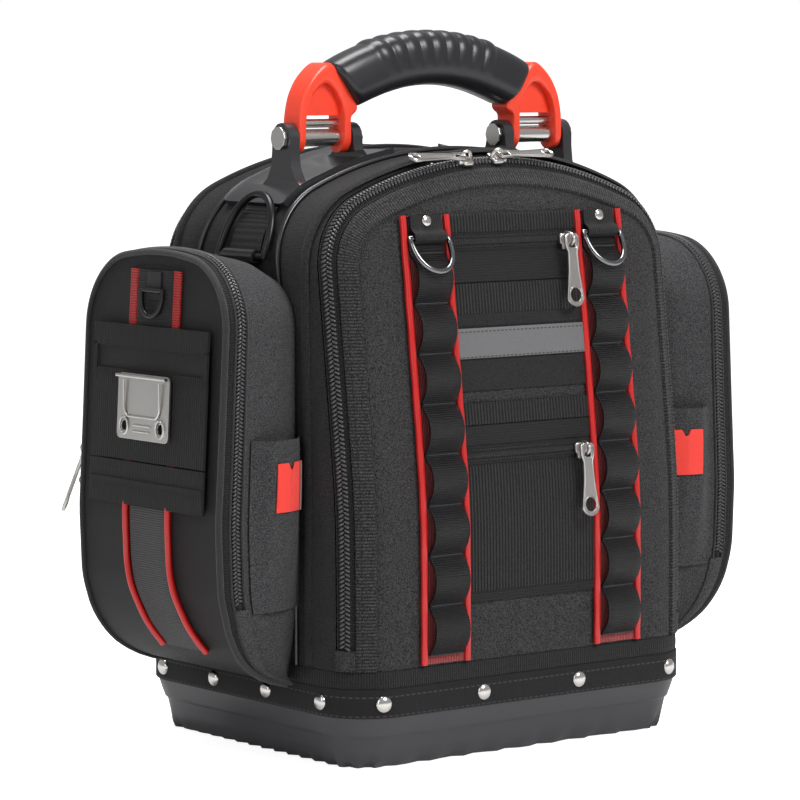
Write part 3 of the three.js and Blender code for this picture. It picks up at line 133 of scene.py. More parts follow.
class Nodes:
    """Short ways to make and join shader nodes."""

    def __init__(self, name):
        self.mat = bpy.data.materials.new(name)
        self.mat.use_nodes = True
        self.tree = self.mat.node_tree
        self.out = self.tree.nodes["Principled BSDF"]

    def add(self, kind, settings=(), **inputs):
        node = self.tree.nodes.new(kind)
        for key, value in dict(settings).items():
            setattr(node, key, value)
        for key, value in inputs.items():
            self.set(node.inputs[int(key[1:])], value)
        return node

    def set(self, socket, value):
        if isinstance(value, bpy.types.NodeSocket):
            self.tree.links.new(value, socket)
        else:
            socket.default_value = value

    def math(self, op, a, b=0.0, c=0.0):
        return self.add("ShaderNodeMath", {"operation": op}, _0=a, _1=b, _2=c).outputs[0]

    def mix(self, share, a, b):
        node = self.add("ShaderNodeMix", {"data_type": "RGBA"})
        self.set(node.inputs[0], share)
        for socket, value in ((node.inputs[6], a), (node.inputs[7], b)):
            self.set(socket, (*value, 1) if isinstance(value, tuple) and len(value) == 3 else value)
        return node.outputs[2]


def plastic(name, colour, rough, metal=0.0, grain=0.0, coat=0.0, speck=0.0):
    """A moulded or metal surface with a fine grain that comes from noise in the piece's own place."""
    n = Nodes(name)
    n.set(n.out.inputs["Base Color"], (*colour, 1))
    n.set(n.out.inputs["Metallic"], metal)
    n.set(n.out.inputs["Roughness"], rough)
    n.set(n.out.inputs["Coat Weight"], coat)
    place = n.add("ShaderNodeTexCoord").outputs["Object"]
    noise = n.add("ShaderNodeTexNoise", _0=place, _2=900.0, _3=2.0).outputs[0]
    if grain:
        bump = n.add("ShaderNodeBump")
        n.set(bump.inputs["Strength"], grain)
        n.set(bump.inputs["Distance"], 0.0002)
        n.set(bump.inputs["Height"], noise)
        n.set(n.out.inputs["Normal"], bump.outputs[0])
    wide = n.add("ShaderNodeTexNoise", _0=place, _2=60.0, _3=4.0).outputs[0]
    n.set(n.out.inputs["Roughness"], n.math("ADD", n.math("MULTIPLY", wide, 0.12 + speck),
                                            rough - 0.06 - speck / 2))
    return n.mat


# The bag's half width and depth, and its rounded edges
body_half, body_deep, corner_radius = 132.5, 110.0, 33.0
# The front and back lean in above a height, over a blend
lean_slope, lean_start, lean_blend = 0.125, 150, 25


def lean(z):
    """How far the front and back lie inside their lowest plane: a hyperbola from upright to the slope."""
    t = np.asarray(z, float) - lean_start
    return 0.5 * lean_slope * (t + np.hypot(t, lean_blend))


def lean_angle(z):
    """The tilt of the front or back at a height, from the slope of the same hyperbola."""
    t = np.asarray(z, float) - lean_start
    return np.arctan(0.5 * lean_slope * (1 + t / np.hypot(t, lean_blend)))


def plan_ring(z, inset, steps=10, straight=24):
    """A rounded rectangle round the base, inset by a distance: straight sides joined by quarter circles."""
    r = corner_radius - inset
    cx, cy = body_half - corner_radius, body_deep - corner_radius
    pts = []
    for k, (sx, sy) in enumerate(((1, -1), (1, 1), (-1, 1), (-1, -1))):
        a = np.radians(np.linspace(0, 90, steps + 1) + (-90 + 90 * k))
        arc = np.stack([sx * cx + r * np.cos(a), sy * cy + r * np.sin(a)], 1)
        pts.append(arc)
        nxt = ((1, 1), (-1, 1), (-1, -1), (1, -1))[k]
        b = np.array([nxt[0] * cx, nxt[1] * cy]) + r * np.array([math.cos(a[-1]), math.sin(a[-1])])
        pts.append(arc[-1] + (b - arc[-1]) * (np.arange(1, straight)[:, None] / straight))
    flat = np.concatenate(pts)
    return np.column_stack([flat, np.full(len(flat), float(z))])


tray_rows = [(0.4, 16), (0.0, 15.4), (0.2, 13.2), (2.6, 11.9), (4.2, 10.6), (11.0, 8.6), (17.6, 7.1),
             (18.3, 6.6), (18.9, 5.9), (19.7, 5.2), (20.6, 5.0), (25.5, 3.2), (29.6, 1.9), (30.5, 1.7)]
rings = [plan_ring(z, d) for z, d in tray_rows]
around = np.concatenate([[0], np.cumsum(np.linalg.norm(np.diff(rings[5][:, :2], axis=0), axis=1))])
tread = np.clip(np.sin(around * 2 * np.pi / 13.0) * 1.8, -1, 1)
for row, (z, d) in enumerate(tray_rows[:5]):
    away = rings[row][:, :2]
    shift = (1.6, 1.6, 1.9, 1.7, 0.9)[row] * tread
    rings[row][:, :2] += away / np.linalg.norm(away, axis=1)[:, None] * shift[:, None]
wall = rings + [plan_ring(30.5, 5.0), plan_ring(8.0, 12.0), plan_ring(4.2, 16.0)]
tray = plastic("tray_plastic", (0.040, 0.038, 0.043), 0.40, grain=0.25)
piece("tray", [grid(np.array(wall), close_v=True), cap(wall[0]), cap(wall[-1])], [tray], "base_tray")
lip = [plan_ring(z, d) for z, d in ((30.5, 2.5), (49.0, 2.5), (49.0, 5.0), (30.5, 5.0))]
piece("tray_lip", [grid(np.array(lip), close_u=True, close_v=True)], [tray], None)

# Base band
# A strip of heavy black webbing round the foot with a ribbed hem above it, held by sixteen domed nickel
# rivets. The strip is sewn to the bag and riveted through the plastic lip behind it.


def fabric(name, dark, light, grain=0.9, rib=None, weave=0.0, rough=0.85, sheen=0.05, lines=(), bump=0.8,
           speck=0.5, place="UV"):
    """Woven cloth. Speckle is noise of a grain in mm between two colours; rib is (u or v, period mm,
    depth), and the grooves between the ribs are darkened with painted shade; weave is the pitch of crossing
    threads; lines are (v place, width, dash pitch or 0, colour) in mm on the map."""
    n = Nodes(name)
    coord = n.add("ShaderNodeTexCoord")
    xyz = coord.outputs["Object"]
    uv = coord.outputs["UV"] if place == "UV" else xyz
    noise = n.add("ShaderNodeTexNoise", _0=xyz, _2=1250.0 / grain, _3=3.0, _4=0.7).outputs[0]
    noise = n.math("MULTIPLY_ADD", n.math("SUBTRACT", noise, 0.5), 5.0 * speck + 0.5, 0.5)
    share = n.add("ShaderNodeClamp", _0=noise).outputs[0]
    colour = n.mix(share, dark, light)
    split = n.add("ShaderNodeSeparateXYZ", _0=uv).outputs
    height = n.math("MULTIPLY", share, 0.5)
    if weave:
        a = n.math("SINE", n.math("MULTIPLY", n.math("ADD", split[0], split[1]), 2000 * math.pi / weave))
        b = n.math("SINE", n.math("MULTIPLY", n.math("SUBTRACT", split[0], split[1]),
                                  2000 * math.pi / weave))
        check = n.math("MULTIPLY", a, b)
        height = n.math("ADD", height, n.math("MULTIPLY", check, 0.35))
        colour = n.mix(n.math("MULTIPLY_ADD", check, 0.3, 0.3), colour, dark)
    if rib:
        axis, period, depth = rib
        wave = n.math("SINE", n.math("MULTIPLY", split["uvw".index(axis)], 2000 * math.pi / period))
        height = n.math("ADD", height, n.math("MULTIPLY", wave, depth))
        # Painted shade: the grooves between the ribs are darkened in the colour, towards a quarter of the
        # dark tone.
        painted_groove_shade = n.math("MULTIPLY_ADD", wave, -0.42, 0.42)
        colour = n.mix(painted_groove_shade, colour, tuple(c * 0.25 for c in dark))
    for at, width, dash, tint in lines:
        mask = n.math("COMPARE", split[1], at * 0.001, width * 0.0005)
        if dash:
            on = n.math("GREATER_THAN", n.math("SINE", n.math("MULTIPLY", split[0],
                                                              2000 * math.pi / dash)), -0.3)
            mask = n.math("MULTIPLY", mask, on)
        colour = n.mix(mask, colour, tint)
        height = n.math("SUBTRACT", height, n.math("MULTIPLY", mask, 1.2))
    n.set(n.out.inputs["Base Color"], colour)
    n.set(n.out.inputs["Roughness"], rough)
    n.set(n.out.inputs["Sheen Weight"], sheen)
    n.set(n.out.inputs["Sheen Roughness"], 0.5)
    n.set(n.out.inputs["Specular IOR Level"], 0.3)
    node = n.add("ShaderNodeBump")
    n.set(node.inputs["Strength"], bump)
    n.set(node.inputs["Distance"], 0.0005)
    n.set(node.inputs["Height"], height)
    n.set(n.out.inputs["Normal"], node.outputs[0])
    return n.mat


black = (0.004, 0.004, 0.005)
band_cloth = fabric("band_webbing", (0.004, 0.004, 0.0045), (0.013, 0.013, 0.014), 0.8, weave=1.4, lines=(
    (3.0, 0.7, 4.0, (0.05, 0.05, 0.055)), (14.0, 0.7, 4.0, (0.05, 0.05, 0.055))))
hem_cloth = fabric("hem_webbing", (0.006, 0.006, 0.0065), (0.028, 0.028, 0.03), 0.8, rib=("u", 1.6, 0.6),
                   lines=((4.0, 0.8, 3.5, black),))
band = [plan_ring(z, d) for z, d in
        ((30.8, 2.2), (30.8, 0.6), (31.4, 0.0), (46.9, 0.0), (47.5, 0.5))]
hem = [plan_ring(z, d) for z, d in ((47.5, 1.0), (48.0, 0.6), (52.5, 0.35), (56.9, 0.7), (57.5, 1.2),
                                    (57.5, 2.9), (47.5, 2.9), (46.8, 2.2), (30.8, 2.2))]
band_obj = piece("band", [grid(np.array(band).swapaxes(0, 1), close_u=True),
                          grid(np.array(hem).swapaxes(0, 1), close_u=True, mat=1)],
                 [band_cloth, hem_cloth], "base_band")


def lathe(profile, place, axis, steps=20):
    """A turned shape: the profile's (radius, height) pairs go round an axis at a place."""
    w = Vector(axis).normalized()
    a = w.orthogonal().normalized()
    b = w.cross(a)
    t = np.linspace(0, 2 * np.pi, steps, endpoint=False)
    around = np.outer(np.cos(t), a) + np.outer(np.sin(t), b)
    rows = [np.asarray(place) + r * around + h * np.asarray(w) for r, h in profile]
    return grid(np.array(rows), close_v=True)


nickel = plastic("nickel", (0.62, 0.60, 0.58), 0.2, metal=1.0)
dome = [(4.9, -0.4), (5.0, 0.2), (4.7, 0.9), (3.9, 1.6), (2.6, 2.15), (1.2, 2.42), (0.001, 2.5)]
rivet_z = 39
rivets = []
for x in (-109, -36.4, 36.4, 109):
    for side in (-1, 1):
        past = max(0, abs(x) - (body_half - corner_radius))
        y = body_deep - corner_radius + math.sqrt(corner_radius ** 2 - past ** 2)
        rivets.append(lathe(dome, (x, side * y, rivet_z), (math.copysign(past / corner_radius, x), side,
                                                           0)))
for y in (-79, -26.3, 26.3, 79):
    for side in (-1, 1):
        rivets.append(lathe(dome, (side * (body_half - 0.1), y, rivet_z), (side, 0, 0)))
piece("band_rivets", rivets, [nickel], None)

# Front cover
# The front flap: one panel of coarse charcoal cloth with a bound, padded edge that turns round to the zip.
# The binding is a wide ribbed strip sewn over the panel's edge with two rows of stitches.


def arch(half, top, crown, shoulder, bottom, step=3.0):
    """An outline from the left foot over the top to the right foot: upright sides, shoulder arcs and a flat
    crown arc, all tangent. Rows hold u, z and the outward direction."""
    reach = half - shoulder
    cz = top - crown
    sz = cz + math.sqrt((crown - shoulder) ** 2 - reach ** 2)
    turn = math.asin(reach / (crown - shoulder))
    rows = [(half, z, 1.0, 0.0) for z in np.linspace(bottom, sz, max(2, round((sz - bottom) / step)),
                                                     endpoint=False)]
    for a in np.linspace(math.pi / 2, turn, max(6, round(shoulder * (math.pi / 2 - turn) / step)),
                         endpoint=False):
        rows.append((reach + shoulder * math.sin(a), sz + shoulder * math.cos(a), math.sin(a), math.cos(a)))
    for a in np.linspace(turn, 0, max(6, round(crown * turn / step)) + 1):
        rows.append((crown * math.sin(a), cz + crown * math.cos(a), math.sin(a), math.cos(a)))
    right = np.array(rows)
    left = right * [-1, 1, -1, 1]
    return np.concatenate([left, right[-2::-1]])


def body_grid(side, stations, depth_in, depth_back):
    """Places on the bag's edge: each station moved inwards across the outline and back from the leaning
    face."""
    u, z, nu, nz = stations.T[:, :, None]
    d = np.broadcast_to(depth_in, (len(stations), np.shape(depth_in)[-1]))
    e = np.broadcast_to(depth_back, d.shape)
    zz = z - nz * d
    return np.stack([u - nu * d, side * (body_deep - lean(zz) - e), zz], 2)


def edge(angles, inside):
    """Insets for places round the bag's rounded edge: 0 degrees is its side, 90 its face."""
    a, r = np.radians(angles), corner_radius - np.asarray(inside, float)
    return corner_radius - r * np.cos(a), corner_radius - r * np.sin(a)


def ladder(stations, inset, place, count=40):
    """A panel inside an outline: straight rows join each left station to the right one of the same
    height."""
    half = stations[: len(stations) // 2 + 1]
    u, z = half[:, 0] - half[:, 2] * inset, half[:, 1] - half[:, 3] * inset
    w = np.linspace(-1, 1, count + 1)
    uu, zz = u[:, None] * w[None], np.broadcast_to(z[:, None], (len(u), count + 1))
    pts = place(uu, zz)
    return pts, np.stack([uu, zz], 2)


panel_skin = 1.3  # how far the panels' cloth lies inside the bag's planes


def face_y(side, z, out=0.0):
    """The y of a panel's cloth at a height, moved outwards."""
    return side * (body_deep - lean(z) - panel_skin + out)


body_top, body_crown, body_shoulder, body_foot = 352, 260, 49, 57.8
body = arch(body_half, body_top, body_crown, body_shoulder, body_foot)
cover_cloth = fabric("cover_cloth", (0.003, 0.003, 0.0035), (0.066, 0.065, 0.067), 1.0, weave=1.7,
                     speck=1.0)
binding = fabric("cover_binding", (0.004, 0.004, 0.0045), (0.07, 0.069, 0.071), 1.0, rib=("u", 1.9, 0.35),
                 lines=((6.6, 0.9, 4.2, (0.006, 0.006, 0.007)), (15.6, 0.9, 4.2, (0.006, 0.006, 0.007)),
                        (19.4, 1.6, 0, black)), speck=1.0)
for side, node, tag in ((-1, "front_cover", "front"), (1, "back_panel", "back")):
    ring_angle = np.array([45, 45, 45.3, 46.5, 49, 52, 55, 58, 61, 64, 66, 66.8, 67.3, 68.4, 72, 78, 84,
                           90.0])
    ring_in = np.array([2.8, 0.8, 0.2, -0.1, -0.3, -0.35, -0.2, 0.1, -0.2, -0.35, -0.1, 0.5, 1.6, 1.5, 1.3,
                        1.3, 1.3, 1.3])
    d, e = edge(ring_angle, ring_in)
    outer = body_grid(side, body, d, e)
    split_at = 13
    d2, e2 = edge(np.array([90.0, 45]), np.array([3.6, 3.0]))
    panel, flat = ladder(body, corner_radius, lambda u, z: np.stack([u, face_y(side, z), z], 2))
    inner, _ = ladder(body, corner_radius, lambda u, z: np.stack([u, face_y(side, z, -2.4), z], 2), 2)
    parts = [grid(outer[:, :split_at], mat=1), grid(outer[:, split_at - 1:], mat=0), grid(panel, uv=flat),
             grid(inner), grid(body_grid(side, body, d2, e2))]
    piece(tag + "_panel", parts, [cover_cloth, binding], node)

# Main zips
# Heavy coil zips that run up one side, over the top and down the other, front and back.
# Black ribbed tape carries a spiral of nylon, whose turns show as slanting bars; two metal sliders close
# each.


def bars(path, along, across, out, half, radius, slant, sides=5):
    """Many small rounded bars, one per place of a path: each is a thin spindle laid across the path and
    slanted."""
    n = len(path)
    t = np.array([-1, -0.8, 0, 0.8, 1.0])
    w = np.array([0.0, 0.75, 1.0, 0.75, 0.0]) * radius
    ang = np.arange(sides) * 2 * np.pi / sides
    axis = across * math.cos(slant) + along * math.sin(slant)
    axis /= np.linalg.norm(axis, axis=1)[:, None]
    flat = np.cross(out, axis)
    ringv = (np.cos(ang)[None, None, :, None] * flat[:, None, None] + np.sin(ang)[None, None, :,
                                                                                  None] * out[:, None,
                                                                                              None])
    pts = path[:, None, None] + axis[:, None, None] * (t * half)[None, :, None, None] + ringv * w[None, :,
                                                                                                  None,
                                                                                                  None]
    m = len(t)
    i, j = np.meshgrid(np.arange(m - 1), np.arange(sides), indexing="ij")
    i, j = i.ravel(), j.ravel()
    q = np.stack([i * sides + j, (i + 1) * sides + j, (i + 1) * sides + (j + 1) % sides,
                  i * sides + (j + 1) % sides], 1)
    quads = (q[None] + (np.arange(n) * m * sides)[:, None, None]).reshape(-1, 4)
    return {"verts": pts.reshape(-1, 3), "quads": quads, "maps": np.zeros((len(quads), 4, 2)), "mat": 0}


def spaced(points, pitch):
    """Points at an even pitch along a path, with the share of the path at each."""
    p = np.asarray(points, float)
    s = np.concatenate([[0], np.cumsum(np.linalg.norm(np.diff(p, axis=0), axis=1))])
    n = int(s[-1] / pitch)
    at = (np.arange(n) + 0.5) * s[-1] / n
    return np.stack([np.interp(at, s, p[:, k]) for k in range(3)], 1)


def coil(mid, inner, outer, pitch, half, radius, slant, gap):
    """Both halves of a zip's spiral: bars left and right of the middle line, slanted like a herringbone."""
    m, a, b = spaced(mid, pitch), spaced(inner, pitch), spaced(outer, pitch)
    k = min(len(m), len(a), len(b))
    m, a, b = m[:k], a[:k], b[:k]
    along = np.gradient(m, axis=0)
    along /= np.linalg.norm(along, axis=1)[:, None]
    across = b - a
    across -= (across * along).sum(1)[:, None] * along
    across /= np.linalg.norm(across, axis=1)[:, None]
    out = np.cross(along, across)
    return [bars(m + across * gap, along, across, out, half, radius, slant),
            bars(m - across * gap + along * pitch * 0.5, along, -across, out, half, radius, slant)]


tape_cloth = fabric("zip_tape", (0.003, 0.003, 0.003), (0.016, 0.016, 0.017), 0.8, rib=("u", 1.5, 0.8),
                    sheen=0.1)
nylon = plastic("zip_nylon", (0.045, 0.045, 0.048), 0.32, grain=0.1)
silver = plastic("antique_silver", (0.50, 0.48, 0.46), 0.3, metal=1.0, grain=0.1)
for side, node, tag in ((-1, "front_zip", "front"), (1, "rear_zip", "rear")):
    zip_angle = np.array([24, 24.1, 25, 26.4, 27.4, 28.5, 30.5, 34.3, 38.2, 40, 41.2, 42.4, 43.6, 44.4,
                          44.6])
    zip_in = np.array([3.5, 1.6, 1.0, 0.9, 1.4, 0.9, 0.5, 0.3, 0.5, 0.9, 1.5, 1.1, 1.0, 1.6, 3.5])
    d, e = edge(zip_angle, zip_in)
    piece(tag + "_zip_tape", [grid(body_grid(side, body, d, e))], [tape_cloth], node)
    run = body[(body[:, 1] > 69) | (np.abs(body[:, 0]) < 100)]
    lines = [body_grid(side, run, *edge(np.array([q]), np.array([-0.3])))[:, 0] for q in (34.3, 28, 40)]
    chain = coil(lines[0], lines[1], lines[2], 2.5, 2.0, 0.95, -0.5, 1.55)
    piece(tag + "_zip_coil", chain, [nylon], None, weld=False)
    patch = body[body[:, 1] < 70.5]
    for sx in (-1, 1):
        foot = patch[np.sign(patch[:, 0]) == sx]
        d, e = edge(np.array([23.6, 23.8, 27, 34, 41, 44.9, 45]),
                    np.array([2.5, -0.2, -0.7, -1.3, -0.7, -0.2, 2.5]))
        piece(f"{tag}_zip_foot_{sx}", [grid(body_grid(side, foot, d, e))], [cover_cloth], None)

# Gussets and centre section
# The sides of the bag in three hoops: a front gusset with a sewn fold, a wide middle and a rear gusset.
# Each is charcoal cloth over foam; seams between them are bound and turned inwards.
side_cloth = fabric("side_cloth", (0.003, 0.003, 0.0035), (0.036, 0.036, 0.038), 1.0, weave=1.7, speck=0.9,
                    lines=((21.5, 0.9, 4.0, black), (26.5, 0.9, 4.0, black)))
piping = fabric("black_piping", (0.006, 0.006, 0.007), (0.02, 0.02, 0.022), 0.6, rough=0.6, sheen=0.15)


def tube(path, radius, sides=10, closed=False, mat=0):
    """A round cord along a path; its circles are kept from twisting by carrying the direction along."""
    p = np.asarray(path, float)
    t = np.roll(p, -1, 0) - np.roll(p, 1, 0) if closed else np.gradient(p, axis=0)
    t /= np.linalg.norm(t, axis=1)[:, None]
    a = np.cross(t[0], [0, 0, 1.0])
    if np.linalg.norm(a) < 0.1:
        a = np.cross(t[0], [0, 1.0, 0])
    a /= np.linalg.norm(a)
    dirs = []
    for k in range(len(p)):
        a = a - t[k] * (a @ t[k])
        a /= np.linalg.norm(a)
        dirs.append(a)
    dirs = np.array(dirs)
    if closed:
        b0 = np.cross(t[0], dirs[0])
        off = math.atan2(dirs[-1] @ b0, dirs[-1] @ dirs[0])
        turn = -off * np.arange(len(p)) / len(p)
        binorm = np.cross(t, dirs)
        dirs = dirs * np.cos(turn)[:, None] + binorm * np.sin(turn)[:, None]
    other = np.cross(t, dirs)
    ang = np.arange(sides) * 2 * np.pi / sides
    r = np.broadcast_to(radius, (len(p),))[:, None, None]
    pts = p[:, None] + r * (np.cos(ang)[None, :, None] * dirs[:, None] + np.sin(ang)[None, :,
                                                                                     None] * other[:, None])
    g = grid(pts, close_u=closed, close_v=True, mat=mat)
    return [g] if closed else [g, cap(pts[0], True, mat), cap(pts[-1], False, mat)]


for side, node, tag in ((-1, "front_gusset", "front"), (1, "rear_gusset", "rear")):
    curve = np.linspace(23.5, 0, 9)
    d, e = edge(curve, np.full(9, 1.0))
    z = body[:, 1][:, None]
    fold = 42 - 0.8 * lean(z)
    rows_e = np.concatenate([np.broadcast_to(e, (len(body), 9)), fold - 3.4, fold - 2.6, fold - 0.8,
                             fold + 0.8, fold + 2.6, fold + 3.4, np.full_like(z, 52.6),
                             np.full_like(z, 53.0), np.full_like(z, 53.0)], axis=1)
    rows_d = np.concatenate([np.broadcast_to(d, (len(body), 9)),
                             np.broadcast_to(np.array([0.9, -0.6, -1.2, -1.2, -0.6, 0.9, 0.9, 1.3, 3.0]),
                                             (len(body), 9))], axis=1)
    piece(tag + "_gusset_cloth", [grid(body_grid(side, body, rows_d, rows_e))], [side_cloth], node)
centre_cloth = fabric("centre_cloth", (0.002, 0.002, 0.0025), (0.018, 0.018, 0.019), 1.0, weave=1.7,
                      speck=0.9)
share = np.linspace(0, 1, 9)[None, :, None]
front_line = body_grid(-1, body, np.array([[0.0]]), np.array([[53.3]]))
back_line = body_grid(1, body, np.array([[0.0]]), np.array([[53.3]]))
skin = front_line + (back_line - front_line) * share
swell = np.sin(np.pi * share[..., 0]) ** 0.5 * 0.5 - 0.6
skin[:, :, 0] += body[:, 2][:, None] * swell
skin[:, :, 2] += body[:, 3][:, None] * swell
inside = skin.copy()[:, [8, 0]]
inside[:, :, 0] -= body[:, 2][:, None] * 2.2
inside[:, :, 2] -= body[:, 3][:, None] * 2.2
piece("centre_cloth", [grid(np.concatenate([skin, inside], axis=1), close_v=True)], [centre_cloth],
      "centre_section")
seam_vinyl = plastic("seam_vinyl", (0.010, 0.010, 0.012), 0.3, grain=0.1, coat=0.3)
for side, tag in ((-1, "front"), (1, "rear")):
    seam = body_grid(side, body, np.array([[-0.2]]), np.array([[53.2]]))[:, 0]
    piece(tag + "_seam_piping", tube(seam, 1.7, 10), [seam_vinyl], None)

# Tool loops
# On each side of the front, a wide red tape edged with shiny red piping, and over it one long strip of
# black webbing sewn down at every pitch, so that it stands out in eight loops.
red_tape = fabric("red_tape", (0.22, 0.004, 0.003), (0.46, 0.014, 0.010), 0.7, rib=("v", 1.2, 0.3),
                  sheen=0.4)
red_cord = plastic("red_piping", (0.47, 0.006, 0.005), 0.34, grain=0.25, coat=0.2)
loop_web = fabric("loop_webbing", (0.0010, 0.0010, 0.0018), (0.0045, 0.0045, 0.0065), 0.8,
                  rib=("u", 1.5, 0.3), rough=0.28, sheen=0.0)
stitch = fabric("stitch_thread", (0.02, 0.02, 0.022), (0.07, 0.07, 0.075), 0.5, rough=0.7)
front_sin, front_cos = math.sin(math.atan(lean_slope)), math.cos(math.atan(lean_slope))


def front_point(x, z, out):
    """A place on the front panel, moved off it along its own outward direction."""
    z, out = np.asarray(z, float), np.asarray(out, float)
    tilt = lean_angle(z)
    y = face_y(-1, z)
    return np.stack(np.broadcast_arrays(x, y - out * np.cos(tilt), z + out * np.sin(tilt)), -1)


def flat_section(half, thick, back, round_off=0.35, count=9):
    """The section of a flat band: a rectangle with softened long edges, from its back to its thickness."""
    x = np.linspace(-1, 1, count)
    top = [(half * v, back + thick * (1 - round_off * abs(v) ** 12)) for v in x]
    low = [(half * v, back) for v in x[::-1]]
    return top + low


def on_front(x0, section, z, bow=0.0):
    """Carries a section up the front panel along heights z, standing out by bow."""
    s = np.array(section)
    z = np.asarray(z, float)[:, None]
    b = np.broadcast_to(np.asarray(bow, float).reshape(-1, 1), z.shape)
    return front_point(x0 + s[None, :, 0], z, s[None, :, 1] + b)


column_x = 65.5  # the middle of each tape from the bag's middle
tape_low, tape_high = 59, 316
loop_low, loop_pitch, loop_count = 64, 28.8, 8
for side, word in ((-1, "left"), (1, "right")):
    mid = side * column_x
    z = np.linspace(tape_low, tape_high, 80)
    tape = on_front(mid, flat_section(16.6, 0.8, 0.65), z)
    parts = [grid(tape, close_v=True), cap(tape[0], True), cap(tape[-1])]
    for off in (-15.9, 15.9):
        wave = 0.35 * np.sin(np.pi * (z - loop_low) / loop_pitch) ** 2
        parts += [dict(q, mat=1) for q in tube(front_point(mid + off, z, 2.3 + wave), 2.05)]
    piece("red_tape_cloth_" + word, parts, [red_tape, red_cord], "red_tape_" + word)
    t = np.linspace(0, loop_count, loop_count * 20 + 1)
    local = t % 1.0
    rise = 6.9 * np.sin(np.pi * local) ** 1.3
    pull = -1.3 * np.sin(2 * np.pi * local)
    zl = loop_low + loop_pitch * t + pull
    loops = on_front(mid, flat_section(12.5, 1.5, 1.75, 0.3), zl, rise)
    loop_parts = [grid(loops, close_v=True), cap(loops[0], True), cap(loops[-1])]
    tail = on_front(mid, flat_section(12.5, 1.1, 1.6, 0.3), np.linspace(294.0, 315.5, 6))
    loop_parts += [grid(tail, close_v=True), cap(tail[0], True), cap(tail[-1])]
    for k in range(loop_count + 1):
        ends = front_point(mid + np.linspace(-11.5, 11.5, 9), loop_low + loop_pitch * k, 3.35)
        loop_parts += [dict(q, mat=1) for q in tube(ends, 0.35, 6)]
    piece("loops_" + word, loop_parts, [loop_web, stitch], "tool_loops_" + word)

# Front rings
# Above each row of loops a tab of black webbing, folded round the bar of a D-shaped nickel ring and
# riveted.


def bow(half, height, place, steps=26):
    """A D ring: a straight bar and a bow, across by the cosine and down by the sine to the power of three
    quarters; place turns the flat ring's points into places on the bag."""
    a = np.linspace(0, np.pi, steps)
    x = half * np.cos(a)
    h = -height * np.sin(a) ** 0.75
    line = np.linspace(-half, half, 8)[1:-1]
    x, h = np.concatenate([x, line]), np.concatenate([h, np.zeros(6)])
    return place(x, h)


web_tab = fabric("tab_webbing", (0.003, 0.003, 0.0035), (0.016, 0.016, 0.018), 0.8, rib=("u", 1.5, 0.4),
                 rough=0.6, place="Object")
ring_metal = plastic("ring_nickel", (0.20, 0.20, 0.21), 0.18, metal=1.0)
bar_y, bar_z, ring_lean = -94.6, 303.5, math.radians(31)
for side, word in ((-1, "left"), (1, "right")):
    mid = side * column_x

    def swung(x, h):
        """The ring's flat points, leant out about its bar."""
        return np.stack([mid + x, bar_y + h * math.sin(ring_lean), bar_z + h * math.cos(ring_lean)], 1)

    ring = bow(14, 22, swung)
    piece("front_ring_" + word, tube(ring, 1.7, 12, True), [ring_metal], "front_d_ring_" + word)
    outs = [(316, 4.2), (312, 4.2), (308.6, 4.4), (307.0, 5.6), (305.8, 7.4), (303.8, 8.5), (301.6, 8.0),
            (300.2, 6.2), (300.3, 4.4), (301.4, 3.6)]
    zz, oo = np.array(outs).T
    tab = on_front(mid, flat_section(11.5, 1.4, -1.4, 0.3), zz, oo)
    piece("ring_tab_" + word, [grid(tab, close_v=True), cap(tab[0]), cap(tab[-1])], [web_tab],
          "d_ring_tab_" + word)
    small = [(3.3, 0), (3.4, 0.4), (3.0, 1.0), (1.9, 1.45), (0.001, 1.65)]
    piece("ring_rivet_" + word, [lathe(small, front_point(mid, 312.5, 4.1), (0, -front_cos, front_sin))],
          [nickel], None)

# Front pockets
# Between the loops: an upper pocket of cloth and ribbed webbing with a zip, a grey reflective strip, and a
# lower pocket of ribbed webbing with its own zip. All are sewn flat on the panel and run under the tapes.
ribbed = fabric("pocket_webbing", (0.003, 0.003, 0.0035), (0.030, 0.029, 0.030), 0.8, rib=("u", 2.3, 1.2),
                speck=0.8)
pocket_cloth = fabric("pocket_cloth", (0.003, 0.003, 0.0035), (0.026, 0.026, 0.027), 1.0, weave=1.5,
                      speck=0.8)
flat_web = fabric("flat_webbing", (0.003, 0.003, 0.0035), (0.012, 0.012, 0.013), 0.7, rib=("v", 1.6, 0.4),
                  rough=0.7)
shine = fabric("reflective_tape", (0.10, 0.10, 0.104), (0.15, 0.15, 0.154), 0.5, rough=0.5, sheen=0.0,
               bump=0.15, lines=((1.4, 0.7, 3.0, (0.03, 0.03, 0.03)), (16.1, 0.7, 3.0, (0.03, 0.03, 0.03))))


pocket_half = 47.9


def slab(z0, z1, back, thick, mat, soft=1.2):
    """A flat pad between the tapes and two heights: its rows rise to its thickness over a soft edge."""
    x = np.linspace(-pocket_half, pocket_half, 33)
    zrow = np.concatenate([[z0, z0], z0 + soft * np.array([0.3, 1]),
                           np.linspace(z0 + soft, z1 - soft, 9)[1:-1], z1 - soft * np.array([1, 0.3]),
                           [z1, z1]])
    orow = back + thick * np.concatenate([[0, 0.55], [0.85, 1.0], np.ones(7), [1.0, 0.85], [0.55, 0]])
    pts = front_point(x[:, None], zrow[None], orow[None])
    return grid(pts, mat=mat)


